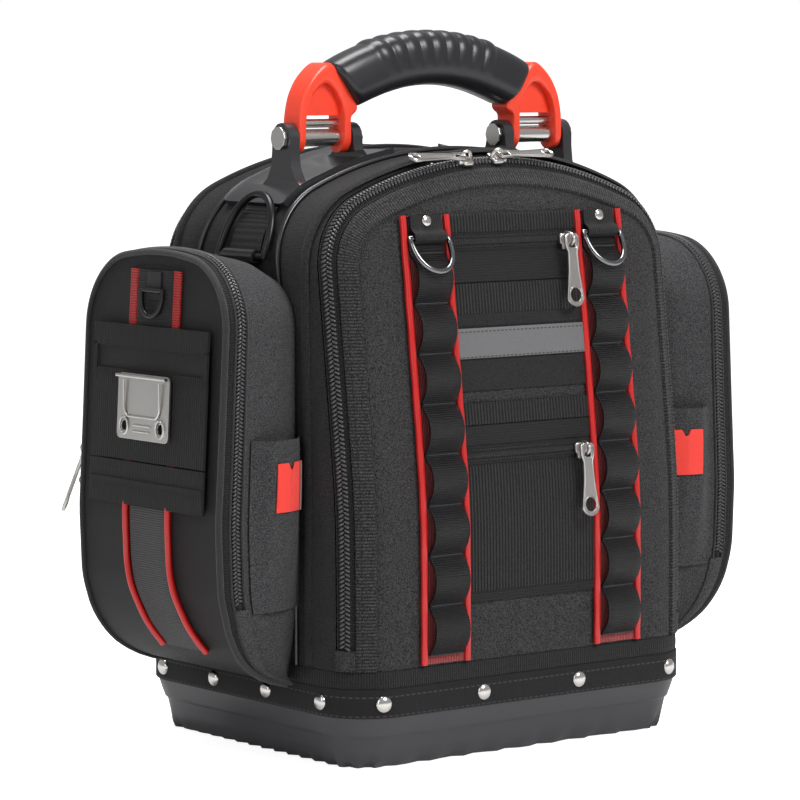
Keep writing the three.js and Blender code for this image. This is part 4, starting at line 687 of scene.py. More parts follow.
upper = [slab(214, 232, 0.65, 1.0, 1), slab(250.5, 258.6, 0.65, 1.0, 1),
         slab(232, 250.5, 0.65, 1.0, 1), slab(258.4, 276, 0.65, 1.5, 0),
         slab(276.4, 294.8, 0.65, 1.3, 2), slab(294.8, 305.2, 0.6, 0.8, 1),
         slab(305.2, 316, 0.65, 1.5, 0)]
piece("upper_pocket_cloth", upper, [ribbed, pocket_cloth, flat_web], "upper_pocket")
lower = [slab(92, 98, 0.65, 1.3, 2), slab(98, 171.5, 0.65, 1.4, 0),
         slab(171.5, 182.5, 0.6, 0.8, 1), slab(182.5, 194, 0.65, 1.5, 2),
         slab(194.3, 207, 0.65, 1.4, 0)]
piece("lower_pocket_cloth", lower, [ribbed, pocket_cloth, flat_web], "lower_pocket")
piece("reflective_strip_cloth", [dict(slab(232.5, 250, 1.95, 0.8, 0, 0.6))], [shine], "reflective_strip")
reverse = fabric("pocket_zip", (0.005, 0.005, 0.006), (0.02, 0.02, 0.021), 0.6, rib=("u", 1.2, 1.0),
                 rough=0.5)
for z, node, tag in ((300, "upper_zip", "upper"), (177, "lower_zip", "lower")):
    rows = [(-3.6, 1.6), (-3.5, 2.0), (-2.4, 2.1), (-1.9, 1.7), (-1.6, 2.4), (-0.5, 2.8), (0.5, 2.8),
            (1.6, 2.4), (1.9, 1.7), (2.4, 2.1), (3.5, 2.0), (3.6, 1.6)]
    dz, o = np.array(rows).T
    piece(tag + "_zip_cloth", [grid(front_point(np.linspace(-pocket_half, pocket_half, 60)[:, None],
                                                z + dz[None], o[None]))], [reverse], node)

# Moulded and metal fittings
# Pieces whose imported solids already have their true outline are shown as fine copies of them: their
# corners are joined, their edges rounded, and each takes the material it is given. They keep their place
# and ride on their own body.


def fitting(node, material, round_edge=0.4, angle=32):
    """A fine copy of a CAD solid with rounded edges."""
    src = frame["nodes"][node]
    mesh = src.data.copy()
    mesh.materials.clear()
    mesh.materials.append(material)
    bm = bmesh.new()
    bm.from_mesh(mesh)
    bmesh.ops.remove_doubles(bm, verts=bm.verts, dist=1e-6)
    bmesh.ops.dissolve_limit(bm, angle_limit=math.radians(1.5), verts=bm.verts, edges=bm.edges)
    bm.to_mesh(mesh)
    bm.free()
    mesh.polygons.foreach_set("use_smooth", np.ones(len(mesh.polygons), bool))
    mesh.polygons.foreach_set("material_index", np.zeros(len(mesh.polygons), np.int32))
    mesh.set_sharp_from_angle(angle=math.radians(angle))
    obj = bpy.data.objects.new(node + "_fitting", mesh)
    bpy.context.collection.objects.link(obj)
    if round_edge:
        mod = obj.modifiers.new("round", "BEVEL")
        mod.width = round_edge * 0.001
        mod.segments = 2
        mod.limit_method = "ANGLE"
        mod.angle_limit = math.radians(angle)
        mod.harden_normals = True
    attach(obj, body_of[node])
    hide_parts(node)
    return obj


def frame_box(node):
    """The lowest and highest corner of a CAD node, in mm."""
    lo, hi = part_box(node)
    return np.array(lo) * 1000, np.array(hi) * 1000


body_of = {n: b for b, names in frame["record"]["behaviour"]["bodies"].items() for n in names}
orange = plastic("arm_orange", (0.86, 0.052, 0.018), 0.34, grain=0.1, coat=0.15)
bracket = plastic("bracket_plastic", (0.022, 0.022, 0.025), 0.3, grain=0.1, coat=0.25)
plate_metal = plastic("plate_satin", (0.55, 0.54, 0.52), 0.34, metal=1.0, grain=0.1)
black_steel = plastic("black_steel", (0.018, 0.018, 0.02), 0.28, metal=0.6)
for word in ("left", "right"):
    fitting("handle_bracket_" + word, bracket, 0.8)
    fitting("handle_pin_" + word, nickel, 0.3)
    fitting("clip_plate_" + word, plate_metal, 0.25)
for word, side in (("left", -1), ("right", 1)):
    lo, hi = frame_box("clip_plate_" + word)
    cy, cz = (lo[1] + hi[1]) / 2, (lo[2] + hi[2]) / 2
    skin = side * (max(abs(lo[0]), abs(hi[0])) + 0.1)
    raised = []
    u_path = [(-18, 15), (-18, -2), (-15.5, -5.5), (15.5, -5.5), (18, -2), (18, 15)]
    for path, r in ((u_path, 0.8), ([(-8.5, -10.5), (8.5, -10.5)], 0.6), ([(-8.5, -14), (8.5, -14)], 0.6),
                    ([(-25, 17.6), (25, 17.6)], 1.1)):
        pts = np.array(path, float)
        s = np.concatenate([[0], np.cumsum(np.linalg.norm(np.diff(pts, axis=0), axis=1))])
        at = np.linspace(0, s[-1], 24)
        yy, zz = np.interp(at, s, pts[:, 0]), np.interp(at, s, pts[:, 1])
        raised += tube(np.stack([np.full(24, skin), cy + yy, cz + zz], 1), r, 8)
    for sy in (-18.2, 18.2):
        a = np.linspace(0, 2 * np.pi, 20, endpoint=False)
        ring = np.stack([np.full(20, skin), cy + sy + 4.0 * np.cos(a), cz - 11.4 + 5.0 * np.sin(a)], 1)
        raised += tube(ring, 0.7, 8, True)
    piece("clip_plate_relief_" + word, raised, [plate_metal], None)

# Handle arms
# Bright orange moulded arms. Each is a rim bent over a recessed web, open below, where a bright sleeve and
# a second bar cross between its cheeks; it turns on a bolt between the bracket's ears.


def smooth_path(points, count):
    """A smooth line through control points: each span is a cubic with slopes from the neighbours."""
    c = np.asarray(points, float)
    e = np.concatenate([[2 * c[0] - c[1]], c, [2 * c[-1] - c[-2]]])
    t = np.linspace(0, len(c) - 1, count)
    i = np.minimum(t.astype(int), len(c) - 2)
    f = (t - i)[:, None]
    a, b, d, g = e[i], e[i + 1], e[i + 2], e[i + 3]
    square, cube = 2 * a - 5 * b + 4 * d - g, 3 * b - a - 3 * d + g
    return 0.5 * (2 * b + (d - a) * f + square * f ** 2 + cube * f ** 3)


handle_y, pivot_z = -9.0, 359.5  # the handle's plane and its bolts
for side, word in ((-1, "left"), (1, "right")):
    o = smooth_path([(100.5, 350.7), (100.5, 362), (99.8, 374), (96.6, 386), (89.5, 396.5), (79.0, 403.5),
                     (70.5, 397), (57.5, 378.5), (61.8, 371), (61.8, 362), (61.8, 350.7)], 90)
    q = smooth_path([(94.9, 350.7), (94.9, 362), (94.2, 373), (91.0, 382.5), (86.0, 388.5), (80.5, 391.5),
                     (75.5, 389.5), (69.0, 381), (67.4, 373), (67.4, 362), (67.4, 350.7)], 90)
    pts = []
    for f, depth in ((0.0, 0.55), (0.0, 0.85), (0.12, 0.97), (0.3, 1.0), (0.7, 1.0), (0.88, 0.97),
                     (1.0, 0.85), (1.0, 0.5)):
        pts.append((f, -depth))
    pts += [(f, -d) for f, d in pts[::-1]]
    f, d = np.array(pts).T
    xz = o[:, None] + (q - o)[:, None] * f[None, :, None]
    deep = 8.5 * np.sqrt(np.clip(1 - (np.clip(pivot_z - xz[:, :, 1], 0, 9) / 9.3) ** 2, 0, 1))
    rim = np.stack([side * xz[:, :, 0], handle_y + d[None] * deep, xz[:, :, 1]], 2)
    zz = np.linspace(372.5, 391, 12)
    left_x = np.interp(zz, q[45:][::-1][:, 1], q[45:][::-1][:, 0])
    right_x = np.interp(zz, q[:45][:, 1], q[:45][:, 0])
    w = np.linspace(0, 1, 5)
    xx = left_x[:, None] + (right_x - left_x)[:, None] * w
    parts = [grid(rim, close_v=True), cap(rim[0]), cap(rim[-1])]
    for y in (-12.2, -5.8):
        parts.append(grid(np.stack([side * xx, np.full_like(xx, y),
                                    np.broadcast_to(zz[:, None], xx.shape)], 2)))
    low = np.stack([side * xx[0], np.full(5, -12.2), np.full(5, 372.5)], 1)
    high = low + [0, 6.4, 0]
    parts.append(grid(np.stack([low, high])))
    line = np.linspace(62.5, 99.7, 6)
    for z, r in ((pivot_z, 5.2), (pivot_z + 8.4, 2.6)):
        path = np.stack([side * line, np.full(6, handle_y), np.full(6, z)], 1)
        parts += [dict(k, mat=1) for k in tube(path, r, 20)]
    piece("arm_rim_" + word, parts, [orange, nickel], "handle_arm_" + word, "handle", angle=40)

# Sliders and pulls
# Die-cast zip sliders in an antique silver finish. Each is a shield-shaped body with a bridge, and a long
# pull that widens to a ring; a raised rim runs round its face.


def turned(points, origin, frame_axes):
    """Takes places in a fitting's own axes to places on the bag."""
    return np.asarray(points, float) @ np.asarray(frame_axes, float) + np.asarray(origin, float)


def pebble(centre, half, axes, power=0.35, nu=10, nv=16):
    """A rounded block: a sphere whose sines and cosines are raised to a small power."""
    a = np.linspace(-np.pi / 2, np.pi / 2, nu)[:, None]
    b = np.linspace(0, 2 * np.pi, nv, endpoint=False)[None]

    def squared(v):
        """A sine or cosine raised to the power, with its sign kept."""
        return np.sign(v) * np.abs(v) ** power

    x = squared(np.cos(a)) * squared(np.cos(b))
    y = squared(np.cos(a)) * squared(np.sin(b))
    z = squared(np.sin(a)) * np.ones_like(b)
    local = np.stack([x * half[0], y * half[1], z * half[2]], 2)
    return grid(turned(local, centre, axes), close_v=True)


def pull(name, node, body_name, origin, axes, long=40.0, wide=10.0):
    """A zip pull hanging along its own minus z from its hinge: a plate with a window for the bridge, a
    neck, and a ring at its end, made from its outline and holes, thickened and rounded."""
    a = np.radians(np.linspace(200, 340, 15))
    end = long - 0.55 * wide
    ring = [(0.55 * wide * math.cos(v), -end + 0.55 * wide * math.sin(v) + 0.1) for v in a]
    right = [(0.42 * wide, -end + 4.5), (0.30 * wide, -0.45 * long), (0.27 * wide, -0.2 * long),
             (0.40 * wide, -0.1 * long), (0.42 * wide, 1.6), (0.30 * wide, 2.7)]
    left = [(-x, z) for x, z in right[::-1]]
    outer = ring + right + left
    b = np.linspace(0, 2 * np.pi, 18, endpoint=False)
    eye = [(0.33 * wide * math.cos(v), -end + 0.33 * wide * math.sin(v)) for v in b]
    slot = [(0.2 * wide, 1.3), (0.2 * wide, -0.13 * long), (-0.2 * wide, -0.13 * long), (-0.2 * wide, 1.3)]
    bm = bmesh.new()
    for loop in (outer, eye, slot):
        vs = [bm.verts.new(turned((x, -0.8, z), origin, axes) * 0.001) for x, z in loop]
        for k in range(len(vs)):
            bm.edges.new((vs[k], vs[(k + 1) % len(vs)]))
    bmesh.ops.triangle_fill(bm, use_beauty=True, edges=bm.edges)
    made = bmesh.ops.extrude_face_region(bm, geom=bm.faces[:])
    depth = Vector(np.asarray(axes)[1] * 0.0016)
    bmesh.ops.translate(bm, vec=depth, verts=[v for v in made["geom"] if isinstance(v, bmesh.types.BMVert)])
    bmesh.ops.recalc_face_normals(bm, faces=bm.faces)
    mesh = bpy.data.meshes.new(name)
    bm.to_mesh(mesh)
    bm.free()
    mesh.materials.append(silver)
    mesh.polygons.foreach_set("use_smooth", np.ones(len(mesh.polygons), bool))
    mesh.set_sharp_from_angle(angle=math.radians(35))
    obj = bpy.data.objects.new(name, mesh)
    bpy.context.collection.objects.link(obj)
    mod = obj.modifiers.new("round", "BEVEL")
    mod.width, mod.segments, mod.limit_method, mod.angle_limit = 0.0004, 2, "ANGLE", math.radians(40)
    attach(obj, body_name)
    if node:
        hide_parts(node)
    rims = []
    for loop, grow, r in ((outer, 0.86, 0.45), (eye, 1.16, 0.45)):
        pts = np.array(loop + loop[:1], float)
        mid = pts.mean(axis=0)
        pts = pts * [grow, 1] if loop is outer else mid + (pts - mid) * grow
        s = np.concatenate([[0], np.cumsum(np.linalg.norm(np.diff(pts, axis=0), axis=1))])
        at = np.linspace(0, s[-1], 44, endpoint=False)
        flat = np.stack([np.interp(at, s, pts[:, 0]), np.full(44, -0.85), np.interp(at, s, pts[:, 1])], 1)
        rims += tube(turned(flat, origin, axes), r, 6, True)
    piece(name + "_rim", rims, [silver], None, body_name)


def slider(name, origin, axes, size=(4.6, 1.7, 5.6), out=5.7):
    """A slider's body under its hinge, its shoulders wider than its foot, with the bridge that holds the
    pull."""
    o = np.asarray(origin, float)
    parts = [pebble(turned((0, out, 0.4), o, axes), (size[0], size[1], size[2] * 0.62), axes),
             pebble(turned((0, out, -3.6), o, axes), (size[0] * 0.72, size[1], size[2] * 0.4), axes)]
    a = np.radians(np.linspace(-5, 185, 14))
    arch_path = np.stack([np.zeros(14), out - 1.0 - (out + 1.6) * np.sin(a), 4.0 * np.cos(a)], 1)
    parts += tube(turned(arch_path, o, axes), 1.05, 8)
    piece(name, parts, [silver], None)


def seat_axes(heading, tip):
    """The own axes of a fitting on the bag: tipped about x, then turned about the upright."""
    h, p = math.radians(heading), -tip
    rx = np.array([[1, 0, 0], [0, math.cos(p), math.sin(p)], [0, -math.sin(p), math.cos(p)]])
    rz = np.array([[math.cos(h), math.sin(h), 0], [-math.sin(h), math.cos(h), 0], [0, 0, 1]])
    return rx @ rz


for tag, z, y in (("upper", 300.0, -99.371), ("lower", 177.0, -114.263)):
    tip = float(lean_angle(z))
    axes = seat_axes(0, tip)
    pull(tag + "_pull", tag + "_zip_pull", tag + "_zip_pull", (38, y, z), axes, wide=12.5)
    slider(tag + "_slider", (38, y, z), axes)
for side, word in ((-1, "left"), (1, "right")):
    for place, x, z, tip in (("upper", 189.1767, 176, math.radians(20)), ("lower", 190.0853, 157, 0.0)):
        at = (side * x, 76.1567, z)
        pull(f"pouch_{place}_pull_{word}", f"pouch_pull_{place}_{word}", f"pouch_pull_{place}_{word}", at,
             seat_axes(side * 130, tip))
        slider(f"pouch_{place}_slider_{word}", at, seat_axes(side * 130, 0))
for side, stops in ((-1, ((-20.5, -1), (3.0, 1))), (1, ((-4.0, 1),))):
    for k, (x, way) in enumerate(stops):
        st = body[[int(np.argmin(np.abs(body[:, 0] - x) + (body[:, 1] < 300) * 999))]]
        root = body_grid(side, st, *edge(np.array([34.5]), np.array([-0.6])))[0, 0]
        tip_in = body_grid(side, st, *edge(np.array([34.5]), np.array([-5.6])))[0, 0]
        out = (tip_in - root) / np.linalg.norm(tip_in - root)
        z_axis = np.array([-way, 0, 0.0])
        y_axis = -out
        x_axis = np.cross(y_axis, z_axis)
        axes = np.stack([x_axis, y_axis, z_axis])
        slider(f"main_slider_{side}_{k}", root + out * 4.4, axes, (5.0, 1.9, 6.6), 4.0)
        pull(f"main_pull_{side}_{k}", None, "bag", root + out * 3.4 - z_axis * 4.0, axes, 38.0, 8.0)

# Grip
# A dark grey rubber grip moulded over the handle's core, with raised ribs across its top and smooth ends.
rubber = plastic("grip_rubber", (0.012, 0.012, 0.015), 0.33, grain=0.2)
grip_half, rib_height, rib_pitch, rib_reach = 15.5, 1.5, 0.1378, 0.62
t = np.linspace(-1, 1, 121)
top = np.stack([77.5 * t, 423 - 19 * t ** 2], 1)  # the grip's upper and lower outlines are parabolas
low = np.stack([56.5 * t, 390 - 13.5 * t ** 2], 1)
ang = np.linspace(0, 2 * np.pi, 48, endpoint=False)
rows = []
for k, v in enumerate(t):
    c, h = (top[k] + low[k]) / 2, (top[k] - low[k]) / 2
    ridge = 0.0
    if abs(v) < rib_reach:
        ridge = rib_height * (0.5 + 0.5 * math.cos(v * 2 * math.pi / rib_pitch)) ** 0.35
    fade = np.clip((np.sin(ang) + 0.25) * 2.5, 0, 1)
    co, si = np.cos(ang), np.sin(ang)
    sx, sy = np.sign(co) * np.abs(co) ** 0.75, np.sign(si) * np.abs(si) ** 0.75
    grow = 1 + (ridge - rib_height) * fade / 17
    end = 1 - 0.04 * abs(v) ** 8 - 0.16 * min(1.0, max(0.0, (abs(v) - 0.95) / 0.05)) ** 2.5
    size = grow * end
    rows.append(np.stack([c[0] + h[0] * sy * size, handle_y + grip_half * sx * size,
                          c[1] + h[1] * sy * size], 1))
rows = np.array(rows)
piece("grip_rubber", [grid(rows, close_v=True), cap(rows[0], True), cap(rows[-1])], [rubber],
      "handle_grip", "handle", angle=60)

# Shoulder rings
# A thick black D ring stands on each shoulder, its bar held by a tab of black webbing sewn round the
# shoulder.
for side, word in ((-1, "left"), (1, "right")):
    tilt = math.radians(20.7)

    def stand(x, h):
        """The ring's flat points, standing on the shoulder and tilted outwards."""
        return np.stack([side * (136.5 + h * math.sin(tilt)), -8.5 + x, 292 - h * math.cos(tilt)], 1)

    ring = bow(22.5, 38, stand, 34)
    piece("shoulder_ring_" + word, tube(ring, 2.3, 14, True), [black_steel], "top_ring_" + word)
    fitting("top_ring_tab_" + word, web_tab, 0.5)

# Side pouches
# Each side carries a zipped pouch: a soft gusset of heathered grey twill that narrows to the bag, a fine
# zip, a ribbed binding with thick black piping, and a domed face of black cloth.
pouch_rows = np.array([(0, .12), (.018, .4), (.042, .59), (.08, .75), (.135, .88), (.22, .975), (.38, 1),
                       (.58, .955), (.8, .91), (1, .86)])
pouch_low, pouch_high = 47.8, 297.0
pouch_foot, pouch_deep = 133.22, 61.8  # where the pouch leaves the bag, and how far it reaches from there


def pouch_x(z):
    """The pouch's reach at a height: the rows' broken line, rounded by averaging it over a small width."""
    t = np.clip((np.asarray(z, float) - pouch_low) / (pouch_high - pouch_low), 0, 1)
    w = np.clip(t * 0.6, 0, 0.02)
    return pouch_foot + pouch_deep * np.mean([np.interp(t + k * w, *pouch_rows.T) for k in (-1, -0.5, 0,
                                                                                            0.5, 1)],
                                             axis=0)


def tuck(z):
    """How far the pouch's sides draw in below: the square of the height left under its foot's curve."""
    t = np.clip((np.asarray(z, float) - pouch_low) / 49.8, 0, 1)
    return 9.94 * (1 - t) ** 2


def pouch_grid(side, st, inset, share, lift=0.0):
    """Places on the pouch: stations of its outline moved inwards, at a share of its thickness."""
    u, z, nu, nz = st.T[:, :, None]
    d = np.broadcast_to(inset, (len(st), np.shape(inset)[-1]))
    k = np.broadcast_to(share, d.shape)
    zz = z - nz * d
    y = u - nu * d
    y = y - np.sign(u) * tuck(zz)
    x = pouch_foot + (pouch_x(z) - pouch_foot) * k + lift
    return np.stack([side * x, y, zz], 2)


def pouch_face(side, y, z, out):
    """A place on the pouch's face, moved off it."""
    y, z, out = np.broadcast_arrays(np.asarray(y, float), np.asarray(z, float), np.asarray(out, float))
    dx = (pouch_x(z + 1) - pouch_x(z - 1)) / 2
    n = np.hypot(dx, 1)
    return np.stack([side * (pouch_x(z) + out / n), y, z - out * dx / n], -1)


pouch_half, pouch_crown, pouch_shoulder = 71, 210, 44
gusset_share = 0.78  # the gusset takes this share of the pouch's reach, the zip and the cover the rest
pouch = arch(pouch_half, pouch_high, pouch_crown, pouch_shoulder, pouch_low, 3.0)
heather = fabric("pouch_heather", (0.010, 0.010, 0.011), (0.092, 0.092, 0.096), 0.9, weave=1.9, speck=1.0)
pouch_cloth = fabric("pouch_cloth", (0.0012, 0.0012, 0.0017), (0.0045, 0.0045, 0.006), 0.8, weave=1.2,
                     rough=0.5, sheen=0.0)
pouch_bind = fabric("pouch_binding", (0.003, 0.003, 0.0035), (0.020, 0.020, 0.022), 0.8,
                    rib=("u", 1.5, 0.6))
grey_tape = fabric("grey_tape", (0.04, 0.04, 0.043), (0.085, 0.085, 0.09), 0.6, rib=("u", 1.4, 0.35),
                   rough=0.6)
red_edge = fabric("red_edge", (0.34, 0.004, 0.004), (0.62, 0.012, 0.010), 0.6, rib=("u", 1.5, 0.5),
                  rough=0.38, sheen=0.05)
tab_red = fabric("tab_red", (0.72, 0.028, 0.018), (0.92, 0.06, 0.038), 0.5, weave=0.9, rough=0.45,
                 sheen=0.2, bump=0.3)
dark_tape = fabric("dark_tape", (0.005, 0.005, 0.006), (0.028, 0.028, 0.03), 0.6, rib=("u", 1.4, 0.5))
panel_web = fabric("panel_webbing", (0.0015, 0.0015, 0.002), (0.009, 0.009, 0.010), 0.8,
                   rib=("v", 1.6, 0.5), rough=0.6, sheen=0.0)
clip_web = fabric("clip_webbing", (0.0015, 0.0015, 0.002), (0.009, 0.009, 0.010), 0.8, rib=("v", 2.1, 0.9),
                  rough=0.6, sheen=0.0)
pouch_bar_z = 273.5
# Shares of the gusset that the slip pocket covers and eases over
slip_near, slip_far, slip_ease = -0.08, 0.9, 0.28
for side, word in ((-1, "left"), (1, "right")):
    gus_share = np.concatenate([[0.0], np.linspace(0, 0.4, 6), np.linspace(0.4, 1, 9)[1:]]) * gusset_share
    gus_in = np.interp(gus_share / gusset_share, [0, 0.4, 1], [14, 5.04, 0.0])
    gus_in[0] += 1.8
    cloth = pouch_grid(side, pouch, gus_in, gus_share)
    piece("pouch_gusset_cloth_" + word, [grid(cloth)], [heather], "pouch_gusset_" + word)
    zs = np.array([0.782, 0.785, 0.80, 0.815, 0.83, 0.855, 0.88, 0.895, 0.91, 0.915])
    zi = np.array([2.5, 0.4, 0.2, 0.8, 0.3, -0.2, 0.3, 0.8, 0.6, 2.5])
    piece("pouch_zip_cloth_" + word, [grid(pouch_grid(side, pouch, zi, zs))], [tape_cloth],
          "pouch_zip_" + word)
    run = pouch[(pouch[:, 1] > 97)]
    lines = [pouch_grid(side, run, np.array([-0.5]), np.array([q]))[:, 0] for q in (0.853, 0.83, 0.88)]
    piece("pouch_coil_" + word, coil(lines[0], lines[1], lines[2], 2.2, 1.7, 0.85, -0.5, 1.3), [nylon],
          None, weld=False)
    cs = np.array([0.915, 0.917, 0.925, 0.945, 0.97, 0.99, 1.0, 1.0, 1.0])
    ci = np.array([3.0, 0.9, 0.5, 0.3, 0.4, 0.9, 2.0, 5.0, 9.0])
    lift = np.array([0, 0, 0, 0, 0.4, 0.9, 1.5, 1.8, 1.8])
    rim = pouch_grid(side, pouch, ci, cs, lift)
    half = pouch[: len(pouch) // 2 + 1]
    zr = half[:, 1] - half[:, 3] * 9.0
    yr = half[:, 0] - half[:, 2] * 9.0
    yr = yr - np.sign(half[:, 0]) * tuck(zr)
    w = np.linspace(-1, 1, 31)
    yy, zz = yr[:, None] * w, np.broadcast_to(zr[:, None], (len(yr), 31))
    xr = pouch_x(half[:, 1]) + 1.8
    centre_x = pouch_x(zr) + 1.8
    xx = centre_x[:, None] + (xr - centre_x)[:, None] * np.abs(w) ** 3
    face = np.stack([side * xx, yy, zz], 2)
    cord_path = pouch_grid(side, pouch, np.array([1.6]), np.array([0.995]), 1.6)[:, 0]
    parts = [grid(rim[:, :7], mat=1), grid(rim[:, 6:]), grid(face, uv=np.stack([yy, zz], 2))]
    parts += [dict(q, mat=2) for q in tube(cord_path, 2.0, 10)]
    thin = pouch_grid(side, pouch, np.array([0.2]), np.array([0.916]))[:, 0]
    parts += [dict(q, mat=2) for q in tube(thin, 0.9, 8)]
    thin = pouch_grid(side, pouch, np.array([-0.1]), np.array([0.785]))[:, 0]
    parts += [dict(q, mat=2) for q in tube(thin, 1.0, 8)]
    piece("pouch_face_" + word, parts, [pouch_cloth, pouch_bind, piping], "pouch_cover_" + word)

    def face_strip(y0, y1, z0, z1, out0, out1, mat, rows=40, shift=None):
        """A flat band up the pouch's face between two y and two z values."""
        z = np.linspace(z0, z1, rows)
        y = np.array([y0, y0, y0 + 0.4, *np.linspace(y0 + 0.8, y1 - 0.8, 7), y1 - 0.4, y1, y1])
        o = np.array([out0, (out0 + out1) / 2, out1 - 0.15, *([out1] * 7), out1 - 0.15, (out0 + out1) / 2,
                      out0])
        move = np.zeros(rows) if shift is None else shift(z)
        g = pouch_face(side, y[None] + move[:, None], z[:, None], o[None])
        lo = pouch_face(side, y[None] + move[:1, None], z[0], np.minimum(o, out0)[None])
        hi = pouch_face(side, y[None] + move[-1:, None], z[-1], np.minimum(o, out0)[None])
        return grid(np.concatenate([lo, g, hi]), mat=mat)

    def drift(z):
        """The strap's foot bends towards the front corner."""
        t = np.clip((120 - z) / 50, 0, 1)
        return -16 * t ** 1.6

    strap = [face_strip(*row) for row in (
        (-18, 18, 148, 285, 2.1, 3.0, 0, 30), (-18, 18, 69, 150, 2.1, 3.0, 1, 40, drift),
        (-25.5, -18, 148, 285, 2.1, 3.3, 2, 30), (18, 25.5, 148, 285, 2.1, 3.3, 2, 30))]
    for y in (-21.5, 21.5):
        z = np.linspace(69, 150, 40)
        strap += [dict(q, mat=3) for q in tube(pouch_face(side, y + drift(z), z, 3.2), 2.0, 10)]
    piece("pouch_strap_cloth_" + word, strap, [dark_tape, grey_tape, red_edge, red_cord],
          "pouch_strap_" + word)
    panel = [face_strip(*row) for row in (
        (-58, 58, 148.5, 173.5, 3.6, 5.0, 0, 10), (-58, 58, 174.3, 226.5, 3.6, 4.9, 2, 16),
        (-58, 58, 226.5, 240, 3.6, 4.2, 1, 8), (-58, 58, 239.5, 252.5, 3.6, 5.2, 0, 8),
        (-58, -53.5, 225, 241, 3.6, 5.2, 0, 6), (53.5, 58, 225, 241, 3.6, 5.2, 0, 6),
        (-57, 57, 222.6, 223.4, 4.8, 5.2, 0, 3), (-57, 57, 160, 163, 4.9, 5.5, 0, 3))]
    piece("pouch_panel_cloth_" + word, panel, [panel_web, pouch_cloth, clip_web], "pouch_panel_" + word)

    def hang(x, h):
        """The ring's flat points, hanging from its bar and leaning out a little."""
        base = pouch_face(side, 0.0, pouch_bar_z, 5.0)
        return np.stack([base[0] - side * h * 0.12 + 0 * x, x, pouch_bar_z + h], 1)

    ring = bow(10.5, 15, hang, 22)
    piece("pouch_ring_" + word, tube(ring, 1.5, 10, True), [black_steel], "pouch_d_ring_" + word)
    tab = [face_strip(-7, 7, 268, 284, 3.2, 4.2, 0, 6)]
    piece("pouch_ring_tab_" + word, tab, [web_tab], None)

    def gusset_skin(z, share, out):
        """A place on the pouch's front side: height, share of the gusset's width and distance off it."""
        z, share, out = np.broadcast_arrays(np.asarray(z, float), np.asarray(share, float),
                                            np.asarray(out, float))
        x1 = (pouch_x(z) - pouch_foot) * gusset_share
        d = np.interp(share, [0, 0.4, 1], [14, 5.04, 0.0])
        return np.stack([side * (pouch_foot + x1 * share), -(pouch_half - tuck(z) - d) - out, z], -1)

    def slip_out(z, sh):
        """How far the pocket stands off: it opens towards its top and dies out at its sewn sides."""
        tall = 1.3 + 8.5 * np.sin(0.62 * np.pi * np.clip((z - 92) / 99, 0, 1))
        across = np.clip(np.minimum(sh - slip_near, slip_far - sh) / slip_ease, 0, 1)
        return 0.5 + tall * (across * across * (3 - 2 * across)) + 0.8

    sh = np.linspace(slip_near, slip_far, 31)
    zz = np.concatenate([[92.0, 92.2], np.linspace(93, 189, 30), [190.6, 191.0, 190.8, 189.5, 180.0]])
    o = slip_out(zz[:, None], sh[None])
    o += 0.35 * np.sin(zz[:, None] / 9.0 + sh[None] * 9.0) * np.clip((150 - zz[:, None]) / 60, 0, 1)
    o[0] = 0.3
    o[-3:] -= np.array([0.5, 1.3, 1.5])[:, None]
    slip = gusset_skin(zz[:, None], sh[None], np.maximum(o, 0.3))
    hem_line = gusset_skin(np.full(31, 184.0), sh, slip_out(184.0, sh) + 0.1)
    piece("slip_pocket_cloth_" + word, [grid(slip)] + [dict(q, mat=1) for q in tube(hem_line, 0.35, 6)],
          [heather, stitch], "slip_pocket_" + word)
    sh = np.linspace(0.12, 0.62, 26)
    zz = np.linspace(150, 178, 12)
    drop = np.zeros((12, 26))
    drop[-3:, 11:16] = np.array([0.8, 2.2, 3.8])[:, None] * np.array([0.5, 1, 1, 1, 0.5])
    zt = zz[:, None] - drop
    o = slip_out(zt, sh[None]) + 0.5
    tab = gusset_skin(zt, sh[None], o + 0.8)
    under = gusset_skin(zt, sh[None], o)
    near = np.linspace(0.115, 0.20, 4)[None]
    fold = gusset_skin(zz[:, None], near, slip_out(zz[:, None], near) + 1.9)
    piece("red_tab_cloth_" + word, [grid(np.concatenate([tab, under[:, ::-1]], axis=1), close_v=True),
                                    grid(fold, mat=1)], [tab_red, red_tape], "red_tab_" + word)
    foot = pouch[pouch[:, 1] < 97]
    for sy in (-1, 1):
        part = foot[np.sign(foot[:, 0]) == sy]
        sew = pouch_grid(side, part, np.array([1.4, -0.9, -1.4, -1.4, -1.4, -0.9, 1.4]),
                         np.array([0.74, 0.745, 0.78, 0.83, 0.88, 0.912, 0.914]))
        piece(f"pouch_zip_foot_{word}_{sy}", [grid(sew)], [heather], None)

# Back pad and shoulder straps
# The carrying side: a foam pad covered in mesh cloth on the back panel, and two padded straps.
# Both are cut from foam, wrapped in cloth and sewn round the edge.
mesh_cloth = fabric("pad_mesh", (0.003, 0.003, 0.0035), (0.030, 0.030, 0.032), 1.3, weave=2.6, speck=0.8,
                    place="Object")

